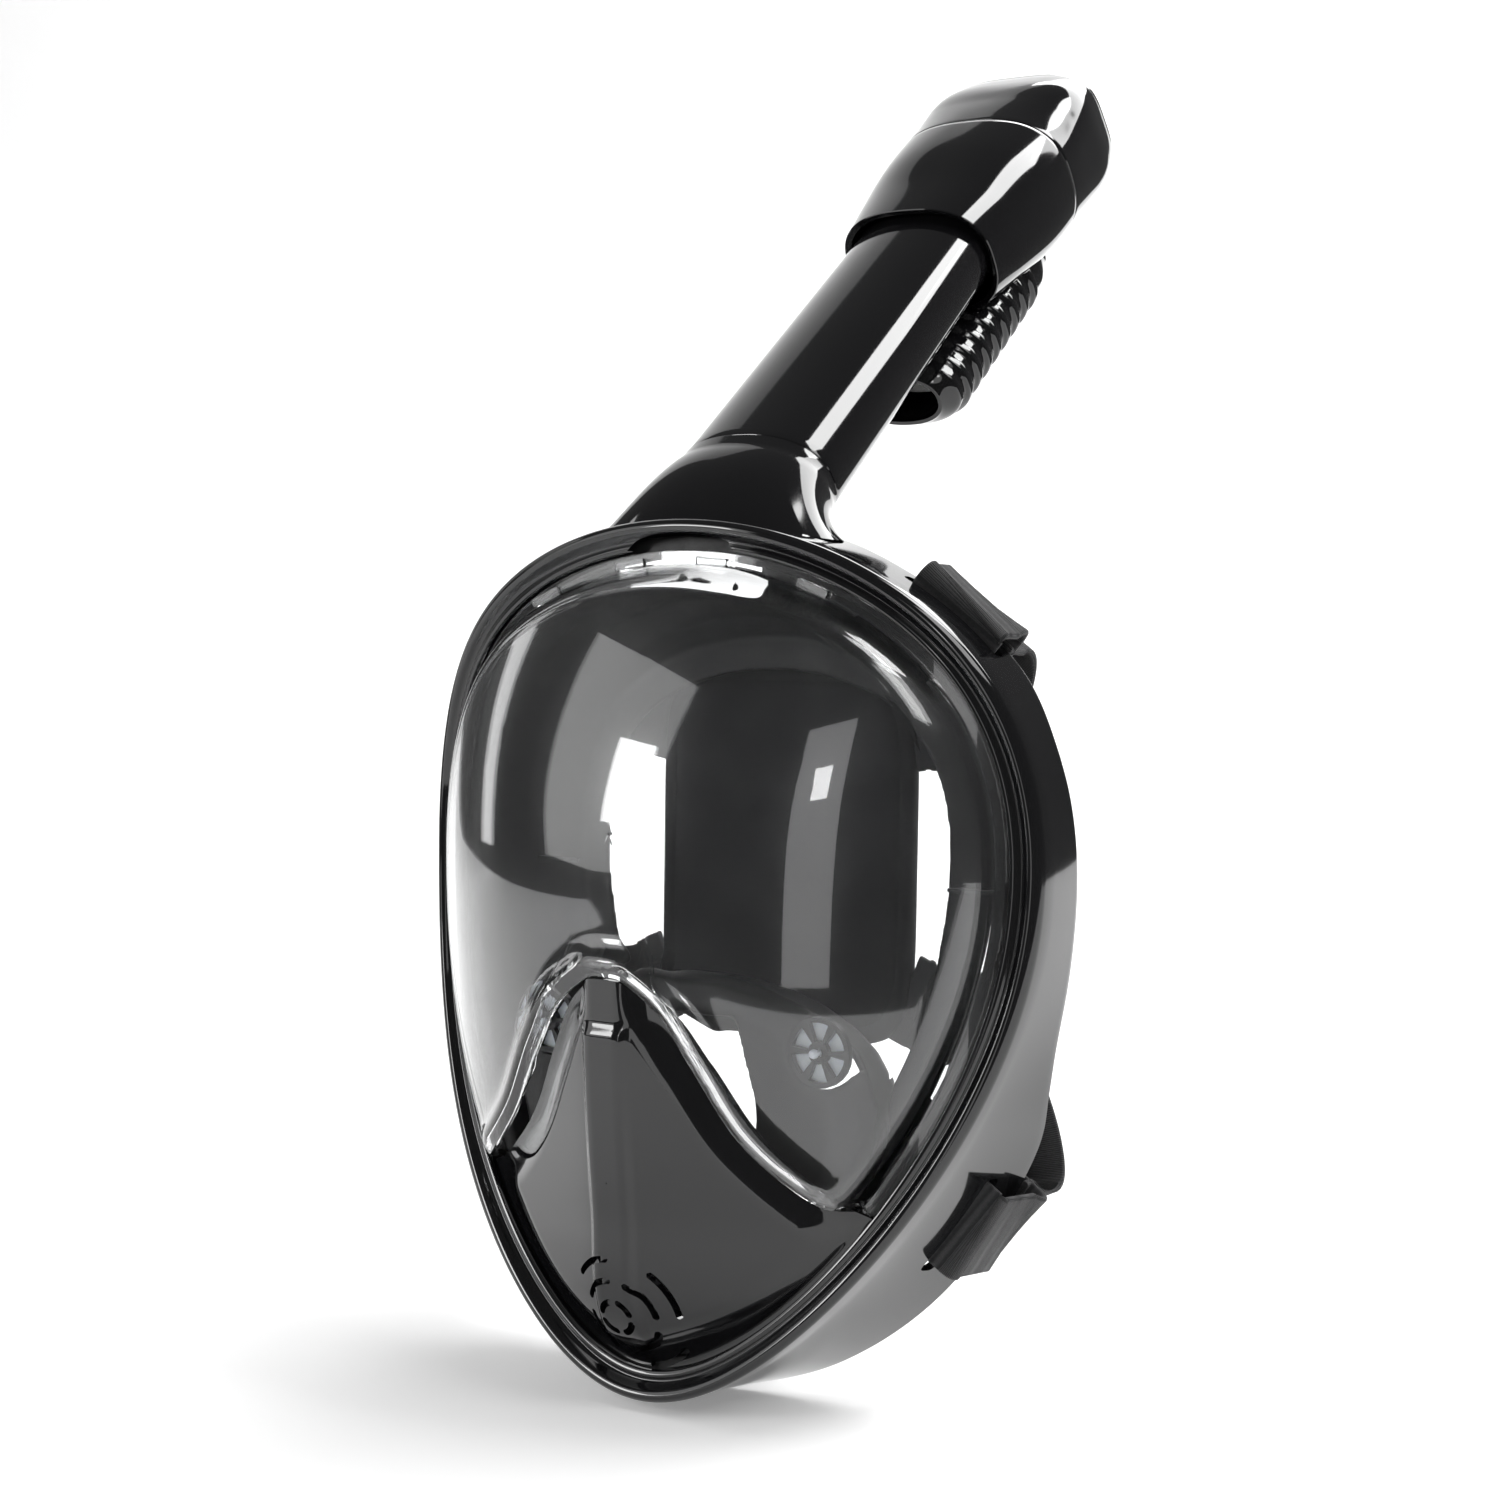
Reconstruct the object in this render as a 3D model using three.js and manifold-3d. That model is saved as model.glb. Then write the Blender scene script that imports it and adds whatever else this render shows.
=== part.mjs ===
// A full face snorkel: one mask over eyes, nose and mouth, with a snorkel tube plugged into its crown.
//
// Millimetres, +X to the right of someone looking at the mask, +Y towards the wearer, +Z up.
// The origin is the centre of the opening that the wearer's face closes.
// Every mask shape is laid out from one egg-shaped outline, the outer edge of the hard frame.
import * as THREE from "three";
import { mergeVertices } from "three/addons/utils/BufferGeometryUtils.js";
import { ParametricGeometry } from "three/addons/geometries/ParametricGeometry.js";
import Module from "manifold-3d";

const wasm = await Module();
wasm.setup();

// ---- Driving dimensions ----
// Frame outline, from its widest line (z = 0) up and down.
const HALF_WIDTH = 110.6;
const RISE = 102.4;
const DROP = 160.9;
const TOP_FULLNESS = [-0.161, 0.065];
const CHIN_FULLNESS = [0.179, 0.048];
// How far the outline bends back at its sides, its crown and its chin.
const SIDE_BEND = [16, 15.9];
const CROWN_BEND = 6.3;
const CHIN_BEND = -8.9;
// Centre of the face opening, in the outline's frame.
const FACE = { y: 62, z: -25 };
const GAP = 0.3;
// Facets round a mask-sized ring, round the snorkel and round a small disc.
const AROUND_MASK = 48;
const AROUND_TUBE = 28;
const AROUND_DISC = 16;

// Clear lens.
const LENS_WALL = 2.4;
const LENS_RIM = 5;
const LENS_FLANGE = 14;
const LENS_EDGE = 21;
const EDGE_RISE = 12;
const CENTRE_RISE = 33;
const LENS_CENTRE_Z = -10;

// Nose and chin cover: a roof-shaped shell with a ridge down the middle.
const RIDGE_HALF = 6.5;
const ROOF_SLOPE = 0.48;
const COVER_WALL = 2.2;
const RIDGE_LINE = [[-30, -34.5], [-48, -33.5], [-100, -28], [-134, -22.5], [-150, -12]];
const COVER_EDGE = [
  [0, -31.5], [5.5, -32], [9, -34], [17, -40], [27, -55], [41, -78],
  [50.7, -88], [60, -95.5], [72, -101], [104, -112],
];

// Snorkel: the tube leans back from the crown.
const TUBE_FOOT = { y: 35.1, z: 106.7 };
const TUBE_LEAN = 51.7;
const TUBE_START = 14.6;
const TUBE_END = 176;
const TUBE_WALL = 2.2;
const SPIGOT_HALF = [22.6, 13.4];
const SOCKET_HALF = [23.2, 14];

// Check valves in the breathing pocket and the drain valve at the chin.
const CHECK_VALVE = { x: 49, y: 2, z: -53.5, radius: 10.5 };
const DRAIN_VALVE = { y: -12.2, z: -132.6, radius: 13 };
const VALVE_TRAVEL = 1.2;

// ---- Outline ----

// Half width and height of the outline at angle t, 0 at the crown and PI at the chin.
function outlineAt(t) {
  const c = Math.cos(t);
  const [k, j] = c > 0 ? TOP_FULLNESS : CHIN_FULLNESS;
  const x = HALF_WIDTH * Math.sin(t) * (1 - k * c * c - j * c ** 4);
  return [x, (c > 0 ? RISE : DROP) * c];
}

// A point of the outline moved towards its inside.
function insetOutline(t, inset) {
  const [x, z] = outlineAt(t);
  const [x1, z1] = outlineAt(t + 1e-3);
  const [x0, z0] = outlineAt(t - 1e-3);
  const length = Math.hypot(x1 - x0, z1 - z0);
  return [x + (inset * (z1 - z0)) / length, z - (inset * (x1 - x0)) / length];
}

// Depth of the bent outline surface under a point of the front view.
function bend(x, z) {
  const w = Math.abs(x) / HALF_WIDTH;
  const ends = z < 0 ? CHIN_BEND * (z / DROP) ** 2 : CROWN_BEND * (z / RISE) ** 2;
  return SIDE_BEND[0] * w ** 2 + SIDE_BEND[1] * w ** 4 + ends;
}

// Value of a table of [position, value] pairs, joined by straight lines.
function lookUp(table, at) {
  const i = table.findIndex(([position]) => position >= at);
  if (i <= 0) return table[i === 0 ? 0 : table.length - 1][1];
  const [p0, v0] = table[i - 1];
  const [p1, v1] = table[i];
  return v0 + ((v1 - v0) * (at - p0)) / (p1 - p0);
}

// ---- Solids ----

// Welds a geometry and drops the triangles that a pole or a seam has closed up.
function weld(geometry) {
  const bare = geometry.clone();
  bare.deleteAttribute("normal");
  bare.deleteAttribute("uv");
  const merged = mergeVertices(bare, 1e-3);
  const kept = [];
  for (let i = 0; i < merged.index.count; i += 3) {
    const [a, b, c] = merged.index.array.slice(i, i + 3);
    if (a !== b && b !== c && c !== a) kept.push(a, b, c);
  }
  merged.setIndex(kept);
  return merged;
}

function solidOf(geometry) {
  const welded = weld(geometry);
  const solid = new wasm.Manifold(new wasm.Mesh({
    numProp: 3,
    vertProperties: welded.attributes.position.array,
    triVerts: new Uint32Array(welded.index.array),
  }));
  if (solid.volume() >= 0) return solid;
  const turned = welded.index.array.slice().reverse();
  return new wasm.Manifold(new wasm.Mesh({
    numProp: 3,
    vertProperties: welded.attributes.position.array,
    triVerts: new Uint32Array(turned),
  }));
}

function geometryOf(solid) {
  const mesh = solid.getMesh();
  const geometry = new THREE.BufferGeometry();
  geometry.setAttribute("position", new THREE.BufferAttribute(mesh.vertProperties, 3));
  geometry.setIndex(new THREE.BufferAttribute(mesh.triVerts, 1));
  geometry.computeVertexNormals();
  return geometry;
}

// Solid whose surface runs through a list of closed loops; each loop is a function of a turn 0..1.
// The first and last loops are points or, when joined is true, meet each other.
function loft(loops, around, joined = false) {
  const count = loops.length - (joined ? 0 : 1);
  const surface = new ParametricGeometry((u, v, target) => {
    const row = Math.round(v * count) % loops.length;
    target.copy(loops[row](u === 1 ? 0 : u));
  }, around, count);
  return solidOf(surface);
}

// Loft between flat ends: the ends are closed at their middles.
function closedLoft(loops, around) {
  const middle = (loop) => {
    const sum = new THREE.Vector3();
    for (let i = 0; i < around; i++) sum.add(loop(i / around));
    sum.divideScalar(around);
    return () => sum;
  };
  return loft([middle(loops[0]), ...loops, middle(loops.at(-1))], around);
}

// Ring that follows the outline: its section is a list of [inset, depth] pairs, which may vary with t.
function outlineRing(section, around) {
  const points = section(0).length;
  const loops = Array.from({ length: points }, (_, i) => (u) => {
    const t = u * 2 * Math.PI;
    const [inset, depth] = section(t)[i];
    const [x, z] = insetOutline(t, inset);
    const [x0, z0] = insetOutline(t, Math.min(inset, 12));
    return new THREE.Vector3(x, bend(x0, z0) + depth, z);
  });
  return loft(loops, around, true);
}

// Straight prism along Y through a front-view shape given as [x, z] pairs.
function prismY(points, y0, y1) {
  const shape = new THREE.Shape(points.map(([x, z]) => new THREE.Vector2(x, z)));
  const geometry = new THREE.ExtrudeGeometry(shape, { depth: y1 - y0, bevelEnabled: false });
  geometry.rotateX(Math.PI / 2);
  geometry.translate(0, y1, 0);
  return solidOf(geometry);
}

function box(size, centre, rotation = [0, 0, 0]) {
  const geometry = new THREE.BoxGeometry(...size);
  geometry.applyMatrix4(new THREE.Matrix4().makeRotationFromEuler(new THREE.Euler(...rotation)));
  geometry.translate(...centre);
  return solidOf(geometry);
}

function lathe(profile, around = 28) {
  return new THREE.LatheGeometry(profile.map(([r, y]) => new THREE.Vector2(r, y)), around);
}

// Oval loop in the snorkel's own frame: z runs up the tube, -y is its front.
function oval(halfX, halfY, z, centreY = 0, power = 2.3, tilt = 0) {
  return (u) => {
    const a = u * 2 * Math.PI;
    const c = Math.cos(a);
    const s = Math.sin(a);
    const x = halfX * Math.sign(c) * Math.abs(c) ** (2 / power);
    const y = halfY * Math.sign(s) * Math.abs(s) ** (2 / power);
    return new THREE.Vector3(x, centreY + y, z + tilt * y);
  };
}

function minus(solid, ...tools) {
  return tools.reduce((left, tool) => left.subtract(tool), solid);
}

// ---- Materials ----
function plastic(name, color, roughness, extra = {}) {
  return new THREE.MeshStandardMaterial({ name, color, roughness, metalness: 0, ...extra });
}

const gloss = () => plastic("gloss_black_shell", 0x08080a, 0.12);
const clear = () => plastic("clear_lens", 0xdfe6ea, 0.04, { transparent: true, opacity: 0.3 });
const silicone = () => plastic("black_silicone", 0x101012, 0.6);
const satin = () => plastic("satin_black_plastic", 0x141416, 0.45);
const flap = () => plastic("milky_silicone", 0xcfd8e2, 0.4);
const webbing = () => plastic("black_webbing", 0x0d0d0e, 0.9);
const foam = () => plastic("white_float", 0xe8e8e4, 0.5);

const root = new THREE.Group();
root.position.set(0, -FACE.y, -FACE.z);
const snorkel = new THREE.Group();
snorkel.position.set(0, TUBE_FOOT.y, TUBE_FOOT.z);
snorkel.rotation.x = THREE.MathUtils.degToRad(-TUBE_LEAN);
root.add(snorkel);

function piece(name, shape, material, parent = root) {
  const geometry = geometryOf(shape.isBufferGeometry ? solidOf(shape) : shape);
  const mesh = new THREE.Mesh(geometry, material);
  mesh.name = name;
  parent.add(mesh);
  return mesh;
}

// A solid of the snorkel's frame, moved to the outline's frame.
function fromSnorkel(solid) {
  const geometry = geometryOf(solid);
  snorkel.updateMatrix();
  geometry.applyMatrix4(snorkel.matrix);
  return solidOf(geometry);
}

// ---- Frame: bead, side wall and snorkel socket ----

// The side wall is deep at the crown, where the snorkel stands, and deepest at the jaw.
const WALL_DEPTH = [
  [0, 30], [0.35, 26], [0.5, 21], [1, 20], [1.2, 16], [1.33, 15.5], [1.62, 20],
  [1.78, 24], [1.93, 28], [2, 32],
  [2.08, 39], [2.2, 42], [2.45, 44], [2.65, 42], [2.85, 36], [Math.PI, 28],
];
const WALL_FLARE = [
  [0, 0], [1.3, 0.5], [1.9, 1.5], [2.05, 5], [2.2, 8], [2.45, 11], [2.7, 9], [2.9, 5], [Math.PI, 2],
];

function wallSection(t) {
  const half = t > Math.PI ? 2 * Math.PI - t : t;
  const depth = lookUp(WALL_DEPTH, half);
  const flare = lookUp(WALL_FLARE, half);
  return [
    [9, -0.4], [9, -2.6], [7.4, -3.2], [6, -2.4], [5, -3.4], [3.6, -5.6], [1.6, -6], [0.2, -4.4],
    [0, -1], [-flare * 0.6, depth * 0.55], [-flare, depth],
    [2.4 - flare, depth], [2.4 - flare * 0.6, depth * 0.55], [2.4, -0.4],
  ];
}

// Flared neck from the crown of the wall up to the socket's mouth.
function neckLoops(halfX, halfY, spread, sink) {
  const rows = 6;
  return Array.from({ length: rows }, (_, i) => (u) => {
    const k = i / (rows - 1);
    const ease = (1 - k) ** 1.6;
    const ring = oval(halfX + spread * ease, halfY, 14 * k - 10 * (1 - k))(u);
    const lean = THREE.MathUtils.degToRad(-TUBE_LEAN) * Math.min(1, k * 1.25);
    ring.z *= k;
    ring.applyAxisAngle(new THREE.Vector3(1, 0, 0), lean);
    const crown = new THREE.Vector3(0, 24, RISE - sink - 0.0022 * ring.x ** 2);
    const foot = new THREE.Vector3(0, TUBE_FOOT.y, TUBE_FOOT.z);
    return ring.add(crown.lerp(foot, Math.min(1, k * 1.3)));
  });
}

const neckShape = closedLoft(neckLoops(27.6, 18, 15, 2), AROUND_TUBE);
const boreShape = fromSnorkel(closedLoft([-34, 20].map((z) => oval(...SOCKET_HALF, z)), AROUND_TUBE));
const mouth = fromSnorkel(box([90, 80, 40], [0, 0, 14 + 20]));

// Each strap passes through a slot in the side wall and wraps the bar behind the slot.
// t places the slot on the outline; slot and bar are depths behind the bead, width runs along the outline.
const STRAPS = {
  upper: { t: 0.74, slot: [10.4, 15.4], bar: 24, width: 33, thick: 2.4, padZ: 41, dip: 0.4, lean: 0 },
  lower: { t: 2.27, slot: [25, 31], bar: 47, width: 31, thick: 2.4, padZ: -45, dip: 9.3, lean: 0.15 },
};

// Frame of a slot: middle of the wall's outside, outward direction and direction along the bent outline.
function slotFrame({ t, dip }, side) {
  const [x, z] = insetOutline(t, 0);
  const [x1, z1] = insetOutline(t, 10);
  const out = new THREE.Vector3(side * (x - x1), 0, z - z1).normalize();
  const rearward = new THREE.Vector3(0, 1, 0);
  const [xa, za] = insetOutline(t - 0.01, 0);
  const [xb, zb] = insetOutline(t + 0.01, 0);
  const along = new THREE.Vector3(side * (xb - xa), bend(xb, zb) - bend(xa, za), zb - za);
  along.divideScalar(Math.hypot(xb - xa, zb - za));
  const origin = new THREE.Vector3(side * x, bend(x, z), z).addScaledVector(out, dip);
  return { out, rearward, along, origin };
}

// Prism of a shape drawn in a slot's out-rearward plane, as wide as given along the outline.
function slotPrism(spec, side, shape, width) {
  const { out, rearward, along, origin } = slotFrame(spec, side);
  const geometry = new THREE.ExtrudeGeometry(shape, { depth: width, bevelEnabled: false, curveSegments: 4 });
  geometry.translate(0, 0, -width / 2);
  const basis = new THREE.Matrix4().makeBasis(out, rearward, along.clone().negate());
  geometry.applyMatrix4(basis.setPosition(origin));
  return solidOf(geometry);
}

function rectangle(x0, y0, x1, y1) {
  return new THREE.Shape([[x0, y0], [x1, y0], [x1, y1], [x0, y1]].map(([x, y]) => new THREE.Vector2(x, y)));
}

function frameSolid() {
  const beadAndWall = outlineRing(wallSection, 60);
  let frame = minus(beadAndWall.add(neckShape), boreShape, mouth);
  for (const side of [-1, 1]) {
    for (const spec of Object.values(STRAPS)) {
      const cut = rectangle(-16, spec.slot[0], 14, spec.slot[1]);
      frame = frame.subtract(slotPrism(spec, side, cut, spec.width + 2));
    }
  }
  return frame.subtract(latchWindow);
}

// ---- Snorkel latch ----
const LATCH = { width: 14, thick: 2.6, height: 7, y: 18.3, z: 3.5 };
const latchWindow = fromSnorkel(box([LATCH.width + 0.8, 10, LATCH.height + 0.8], [0, 18, LATCH.z]));
piece("frame", frameSolid(), gloss());

// ---- Front: lens, cover, gasket, clamp ring ----

// Loop of the lens, 0..1 from its rim to its middle, on its outer or inner face.
function lensLoop(k, wall) {
  return (u) => {
    const t = u * 2 * Math.PI;
    if (k <= 0) {
      const inset = LENS_FLANGE + k * (LENS_FLANGE - LENS_RIM);
      const [x, z] = insetOutline(t, inset);
      return new THREE.Vector3(x, bend(x, z) + wall, z);
    }
    const [ex, ez] = insetOutline(t, LENS_EDGE);
    const [fx, fz] = insetOutline(t, LENS_FLANGE + wall);
    const side = Math.min(1, k / 0.3);
    const out = Math.max(0, (k - 0.3) / 0.7);
    const x = (fx + (ex - fx) * side) * (1 - out);
    const z = (fz + (ez - fz) * side) * (1 - out) + LENS_CENTRE_Z * out;
    const dome = EDGE_RISE + (CENTRE_RISE - EDGE_RISE) * (1 - (1 - out) ** 2);
    const rise = side < 1 ? EDGE_RISE * Math.sin((side * Math.PI) / 2) ** 0.8 : dome;
    return new THREE.Vector3(x, bend(x, z) - rise + wall, z);
  };
}

const LENS_STEPS = [-1, -0.03, 0.1, 0.3, 0.5, 0.7, 0.87, 1];

function lensShell() {
  const outer = LENS_STEPS.map((k) => lensLoop(k, 0));
  const inner = LENS_STEPS.map((k) => lensLoop(k, LENS_WALL)).reverse();
  return loft([...inner, ...outer], AROUND_MASK);
}

// Front-view region of the nose cover; grow moves its upper edge outwards.
function coverRegion(grow) {
  const right = COVER_EDGE.map(([x, z]) => [x + (x ? grow * 0.7 : 0), z + grow]);
  const left = right.slice(1).map(([x, z]) => [-x, z]).reverse();
  return prismY([...left, ...right, [130, -200], [-130, -200]], -80, 80);
}

// Outer face of the nose cover at a point of the front view.
function coverDepth(x, z, inset) {
  const ridge = lookUp(RIDGE_LINE.map(([a, b]) => [-a, b]), -z);
  const roof = ridge + ROOF_SLOPE * Math.max(0, Math.hypot(x, 2) - RIDGE_HALF);
  const floor = bend(x, z);
  const ease = Math.min(1, Math.max(0, (inset - 11) / 9));
  return floor + Math.min(0, roof - floor) * Math.sin((ease * Math.PI) / 2);
}

function coverLoop(k, wall) {
  return (u) => {
    const t = u * 2 * Math.PI;
    const inset = k < 0.35 ? 9.4 + (k / 0.35) * 11 : 20.4;
    const [ex, ez] = insetOutline(t, inset);
    const out = Math.max(0, (k - 0.35) / 0.65);
    const x = ex * (1 - out);
    const z = ez * (1 - out) + -90 * out;
    return new THREE.Vector3(x, coverDepth(x, z, k < 0.35 ? inset : 20) + wall, z);
  };
}

// Drain grille: concentric arc slots round the chin.
function grilleSlots() {
  const rings = [[5, 4, 0.9, 0.35], [11.5, 4, 1.05, 0.1], [18, 4, 0.8, 0.1]];
  const slots = [];
  for (const [radius, count, sweep, turn] of rings) {
    for (let i = 0; i < count; i++) {
      const a0 = turn + (i * 2 * Math.PI) / count;
      const arc = (r, from, to) => Array.from({ length: 5 }, (_, j) => {
        const a = from + ((to - from) * j) / 4;
        return [r * Math.cos(a), DRAIN_VALVE.z + r * Math.sin(a)];
      });
      const edge = [...arc(radius - 0.9, a0, a0 + sweep), ...arc(radius + 0.9, a0 + sweep, a0)];
      slots.push(prismY(edge, -60, 10));
    }
  }
  return slots;
}

const COVER_STEPS = [0, 0.16, 0.35, 0.55, 0.75, 0.9, 1];

function coverSolid() {
  const outer = COVER_STEPS.map((k) => coverLoop(k, 0));
  const inner = COVER_STEPS.map((k) => coverLoop(k, COVER_WALL)).reverse();
  const shell = loft([...inner, ...outer], AROUND_MASK);
  return minus(shell.intersect(coverRegion(-GAP)), ...grilleSlots());
}
piece("lens", lensShell().subtract(coverRegion(0)), clear());
piece("nose_cover", coverSolid(), gloss());

const band = (in0, in1, y0, y1) => outlineRing(() => [[in0, y0], [in0, y1], [in1, y1], [in1, y0]], AROUND_MASK);
piece("lens_gasket", band(4.8, 12, 2.8, 3.9), silicone());
piece("clamp_ring", band(3, 11.5, 7, 9.2), satin());


// ---- Soft parts behind the lens ----

// Loop of the face skirt: inset from the outline and share of the way back to the face.
const SKIRT_OUTER = [
  [4.8, 0, 0], [4.8, 0, 2.3], [12, 0, 2.3], [14.5, 0.06, 1.6],
  [16, 0.3, 0], [20, 0.6, 0], [27, 0.85, 0], [34, 1, 0],
];
const SKIRT_INNER = [
  [46, 0.99, 0], [45.5, 0.94, 0], [35, 0.95, 0], [29, 0.81, 0],
  [22.3, 0.57, 0], [18.3, 0.28, 0], [16.5, 0, 0], [12, 0, 0],
];

function skirtLoop([inset, share, extra]) {
  return (u) => {
    const t = u * 2 * Math.PI;
    const [x, z] = insetOutline(t, inset);
    const [x0, z0] = insetOutline(t, Math.min(inset, 12));
    const front = bend(x0, z0) + 4.3;
    return new THREE.Vector3(x, front + (FACE.y - front) * share + extra, z);
  };
}

function skirtSolid() {
  const skirt = loft([...SKIRT_OUTER, ...SKIRT_INNER].map(skirtLoop), AROUND_MASK, true);
  const port = fromSnorkel(closedLoft([-52, 0].map((z) => oval(24.5, 15.5, z)), AROUND_TUBE));
  return skirt.subtract(port);
}
piece("face_skirt", skirtSolid(), silicone());

// Breathing pocket: a cup round nose and mouth, open to the nose cover in front and to the face behind.
const POCKET = { halfX: 64, top: -34, bottom: -126, front: 4, rear: 48, wall: 2 };

function pocketLoop(scale, y) {
  const middle = (POCKET.top + POCKET.bottom) / 2;
  const halfZ = (POCKET.top - POCKET.bottom) / 2;
  return (u) => {
    const a = u * 2 * Math.PI;
    const x = POCKET.halfX * Math.sin(a) * (1 + 0.12 * Math.cos(a));
    const z = halfZ * Math.cos(a);
    const shrink = 1 - scale / halfZ;
    return new THREE.Vector3(x * shrink, y + 0.05 * Math.abs(x), middle + z * shrink);
  };
}

function pocketSolid() {
  const { front, rear, wall } = POCKET;
  const outside = [[8, front], [2, front + 3], [0, front + 8], [3, 30], [10, rear]];
  const outer = closedLoft(outside.map((r) => pocketLoop(...r)), 32);
  const inside = [[9, front + wall], [4, front + 5], [2, 12], [5, 30], [12, rear + 1]];
  const inner = closedLoft(inside.map((r) => pocketLoop(...r)), 32);
  const noseHole = prismY([[-20, -46], [20, -46], [27, -70], [27, -118], [-27, -118], [-27, -70]], -20, 20);
  let pocket = minus(outer, inner, noseHole);
  for (const side of [-1, 1]) {
    const hole = new THREE.CylinderGeometry(CHECK_VALVE.radius + 0.3, CHECK_VALVE.radius + 0.3, 30, 32);
    hole.translate(side * CHECK_VALVE.x, CHECK_VALVE.y, CHECK_VALVE.z);
    pocket = pocket.subtract(solidOf(hole));
  }
  return pocket;
}
piece("breathing_pocket", pocketSolid(), silicone());

// ---- One-way valves ----

// Points of an arc in a plane, both ends included.
function arc(radius, from, to, steps) {
  return Array.from({ length: steps + 1 }, (_, i) => {
    const a = from + ((to - from) * i) / steps;
    return new THREE.Vector2(radius * Math.cos(a), radius * Math.sin(a));
  });
}

// Spoked disc with a hub hole, lying in the X-Z plane round its own centre.
function valveSeat(radius, spokes, thickness) {
  const shape = new THREE.Shape(arc(radius, 0, 2 * Math.PI, 24).slice(1));
  shape.holes.push(new THREE.Path(arc(1.4, 2 * Math.PI, 0, 8).slice(1)));
  for (let i = 0; i < spokes; i++) {
    const from = ((i + 0.14) * 2 * Math.PI) / spokes;
    const to = ((i + 0.86) * 2 * Math.PI) / spokes;
    shape.holes.push(new THREE.Path([...arc(radius - 1.6, to, from, 4), ...arc(3.4, from, to, 2)]));
  }
  const geometry = new THREE.ExtrudeGeometry(shape, { depth: thickness, bevelEnabled: false });
  geometry.rotateX(Math.PI / 2);
  geometry.translate(0, thickness, 0);
  return geometry;
}

// Umbrella flap behind its seat: disc, stem through the hub hole and a bulb that keeps it there.
function valveFlap(radius, seatThickness) {
  const front = -VALVE_TRAVEL - 0.6;
  return lathe([
    [0, front - 2.4], [1.1, front - 2], [1.5, front - 0.8], [1.5, front], [0.9, front],
    [0.9, seatThickness + 0.3], [radius, seatThickness + 0.3], [radius, seatThickness + 0.8],
    [0, seatThickness + 1.2],
  ], AROUND_DISC);
}

const seatY = POCKET.front + 0.05 * CHECK_VALVE.x - 0.4;
for (const [side, name] of [[-1, "left"], [1, "right"]]) {
  const seat = piece(`check_valve_seat_${name}`, valveSeat(CHECK_VALVE.radius, 6, 2), satin());
  seat.position.set(side * CHECK_VALVE.x, seatY, CHECK_VALVE.z);
  const disc = piece(`check_valve_flap_${name}`, valveFlap(CHECK_VALVE.radius - 1, 2), flap());
  disc.position.copy(seat.position);
}

// Drain valve behind the grille: water leaves forwards, so its flap lies in front of its seat.
const drain = new THREE.Group();
drain.position.set(0, DRAIN_VALVE.y, DRAIN_VALVE.z);
drain.rotation.x = 0.3;
root.add(drain);
piece("drain_valve_seat", valveSeat(DRAIN_VALVE.radius, 6, 2), satin(), drain);
const drainFlap = piece("drain_valve_flap", valveFlap(DRAIN_VALVE.radius - 1, 2), silicone(), drain);
drainFlap.rotation.x = Math.PI;
drainFlap.position.y = 2;

// ---- Snorkel tube ----

const tubeHalf = (z) => {
  const k = (z - TUBE_START) / (TUBE_END - TUBE_START);
  return [27.4 - 2.4 * k, 17.6 - 1.4 * k];
};

const SEAL_GROOVE = [-2.6, 0.6];

function tubeSolid() {
  const [low, high] = SEAL_GROOVE;
  const spigot = [[-6, 0], [low, 0], [low + 0.01, 1], [high - 0.01, 1], [high, 0], [TUBE_START, 0]];
  const outer = closedLoft([
    ...spigot.map(([z, c]) => oval(SPIGOT_HALF[0] - c, SPIGOT_HALF[1] - c, z)),
    oval(...tubeHalf(TUBE_START), TUBE_START),
    oval(...tubeHalf(TUBE_END), TUBE_END),
  ], AROUND_TUBE);
  const bore = closedLoft([
    oval(SPIGOT_HALF[0] - 2.6, SPIGOT_HALF[1] - 2.6, -7),
    oval(SPIGOT_HALF[0] - 2.6, SPIGOT_HALF[1] - 2.6, 13),
    oval(tubeHalf(18)[0] - TUBE_WALL, tubeHalf(18)[1] - TUBE_WALL, 18),
    oval(tubeHalf(TUBE_END)[0] - TUBE_WALL, tubeHalf(TUBE_END)[1] - TUBE_WALL, TUBE_END + 1),
  ], AROUND_TUBE);
  const walls = [-11, 11].map((x) => box([1.5, 60, 400], [x, 0, 100]));
  return outer.subtract(minus(bore, ...walls));
}
piece("snorkel_tube", tubeSolid(), gloss(), snorkel);

function ovalRing(outer, inner, z0, z1, around = AROUND_TUBE) {
  const body = closedLoft([oval(...outer, z0), oval(...outer, z1)], around);
  return body.subtract(closedLoft([oval(...inner, z0 - 1), oval(...inner, z1 + 1)], around));
}
piece("socket_seal", ovalRing([22.95, 13.75], [21.9, 12.7], -2.2, 0.2), silicone(), snorkel);
piece("latch_button", box([LATCH.width, LATCH.thick, LATCH.height], [0, LATCH.y, LATCH.z]), satin(), snorkel);

// ---- Snorkel head ----

const HEAD = { lip: 147, seam: 207, top: 262, centreY: 3.5, halfX: 34, halfY: 26, wall: 2.2 };

// Half sizes and centre of the head's outside at a height up the tube.
function headAt(z) {
  const { lip, top } = HEAD;
  const widths = [[lip, 28.5], [165, 31.5], [190, HEAD.halfX], [225, HEAD.halfX], [245, 31], [256, 26], [top, 16]];
  const depths = [[lip, 21.4], [165, 23], [190, HEAD.halfY], [225, HEAD.halfY], [245, 24], [256, 19], [top, 11]];
  const halfX = lookUp(widths, z);
  const halfY = lookUp(depths, z);
  const centreY = lookUp([[HEAD.lip, 1], [190, HEAD.centreY], [HEAD.top, 6]], z);
  return [halfX, halfY, centreY];
}

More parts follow.
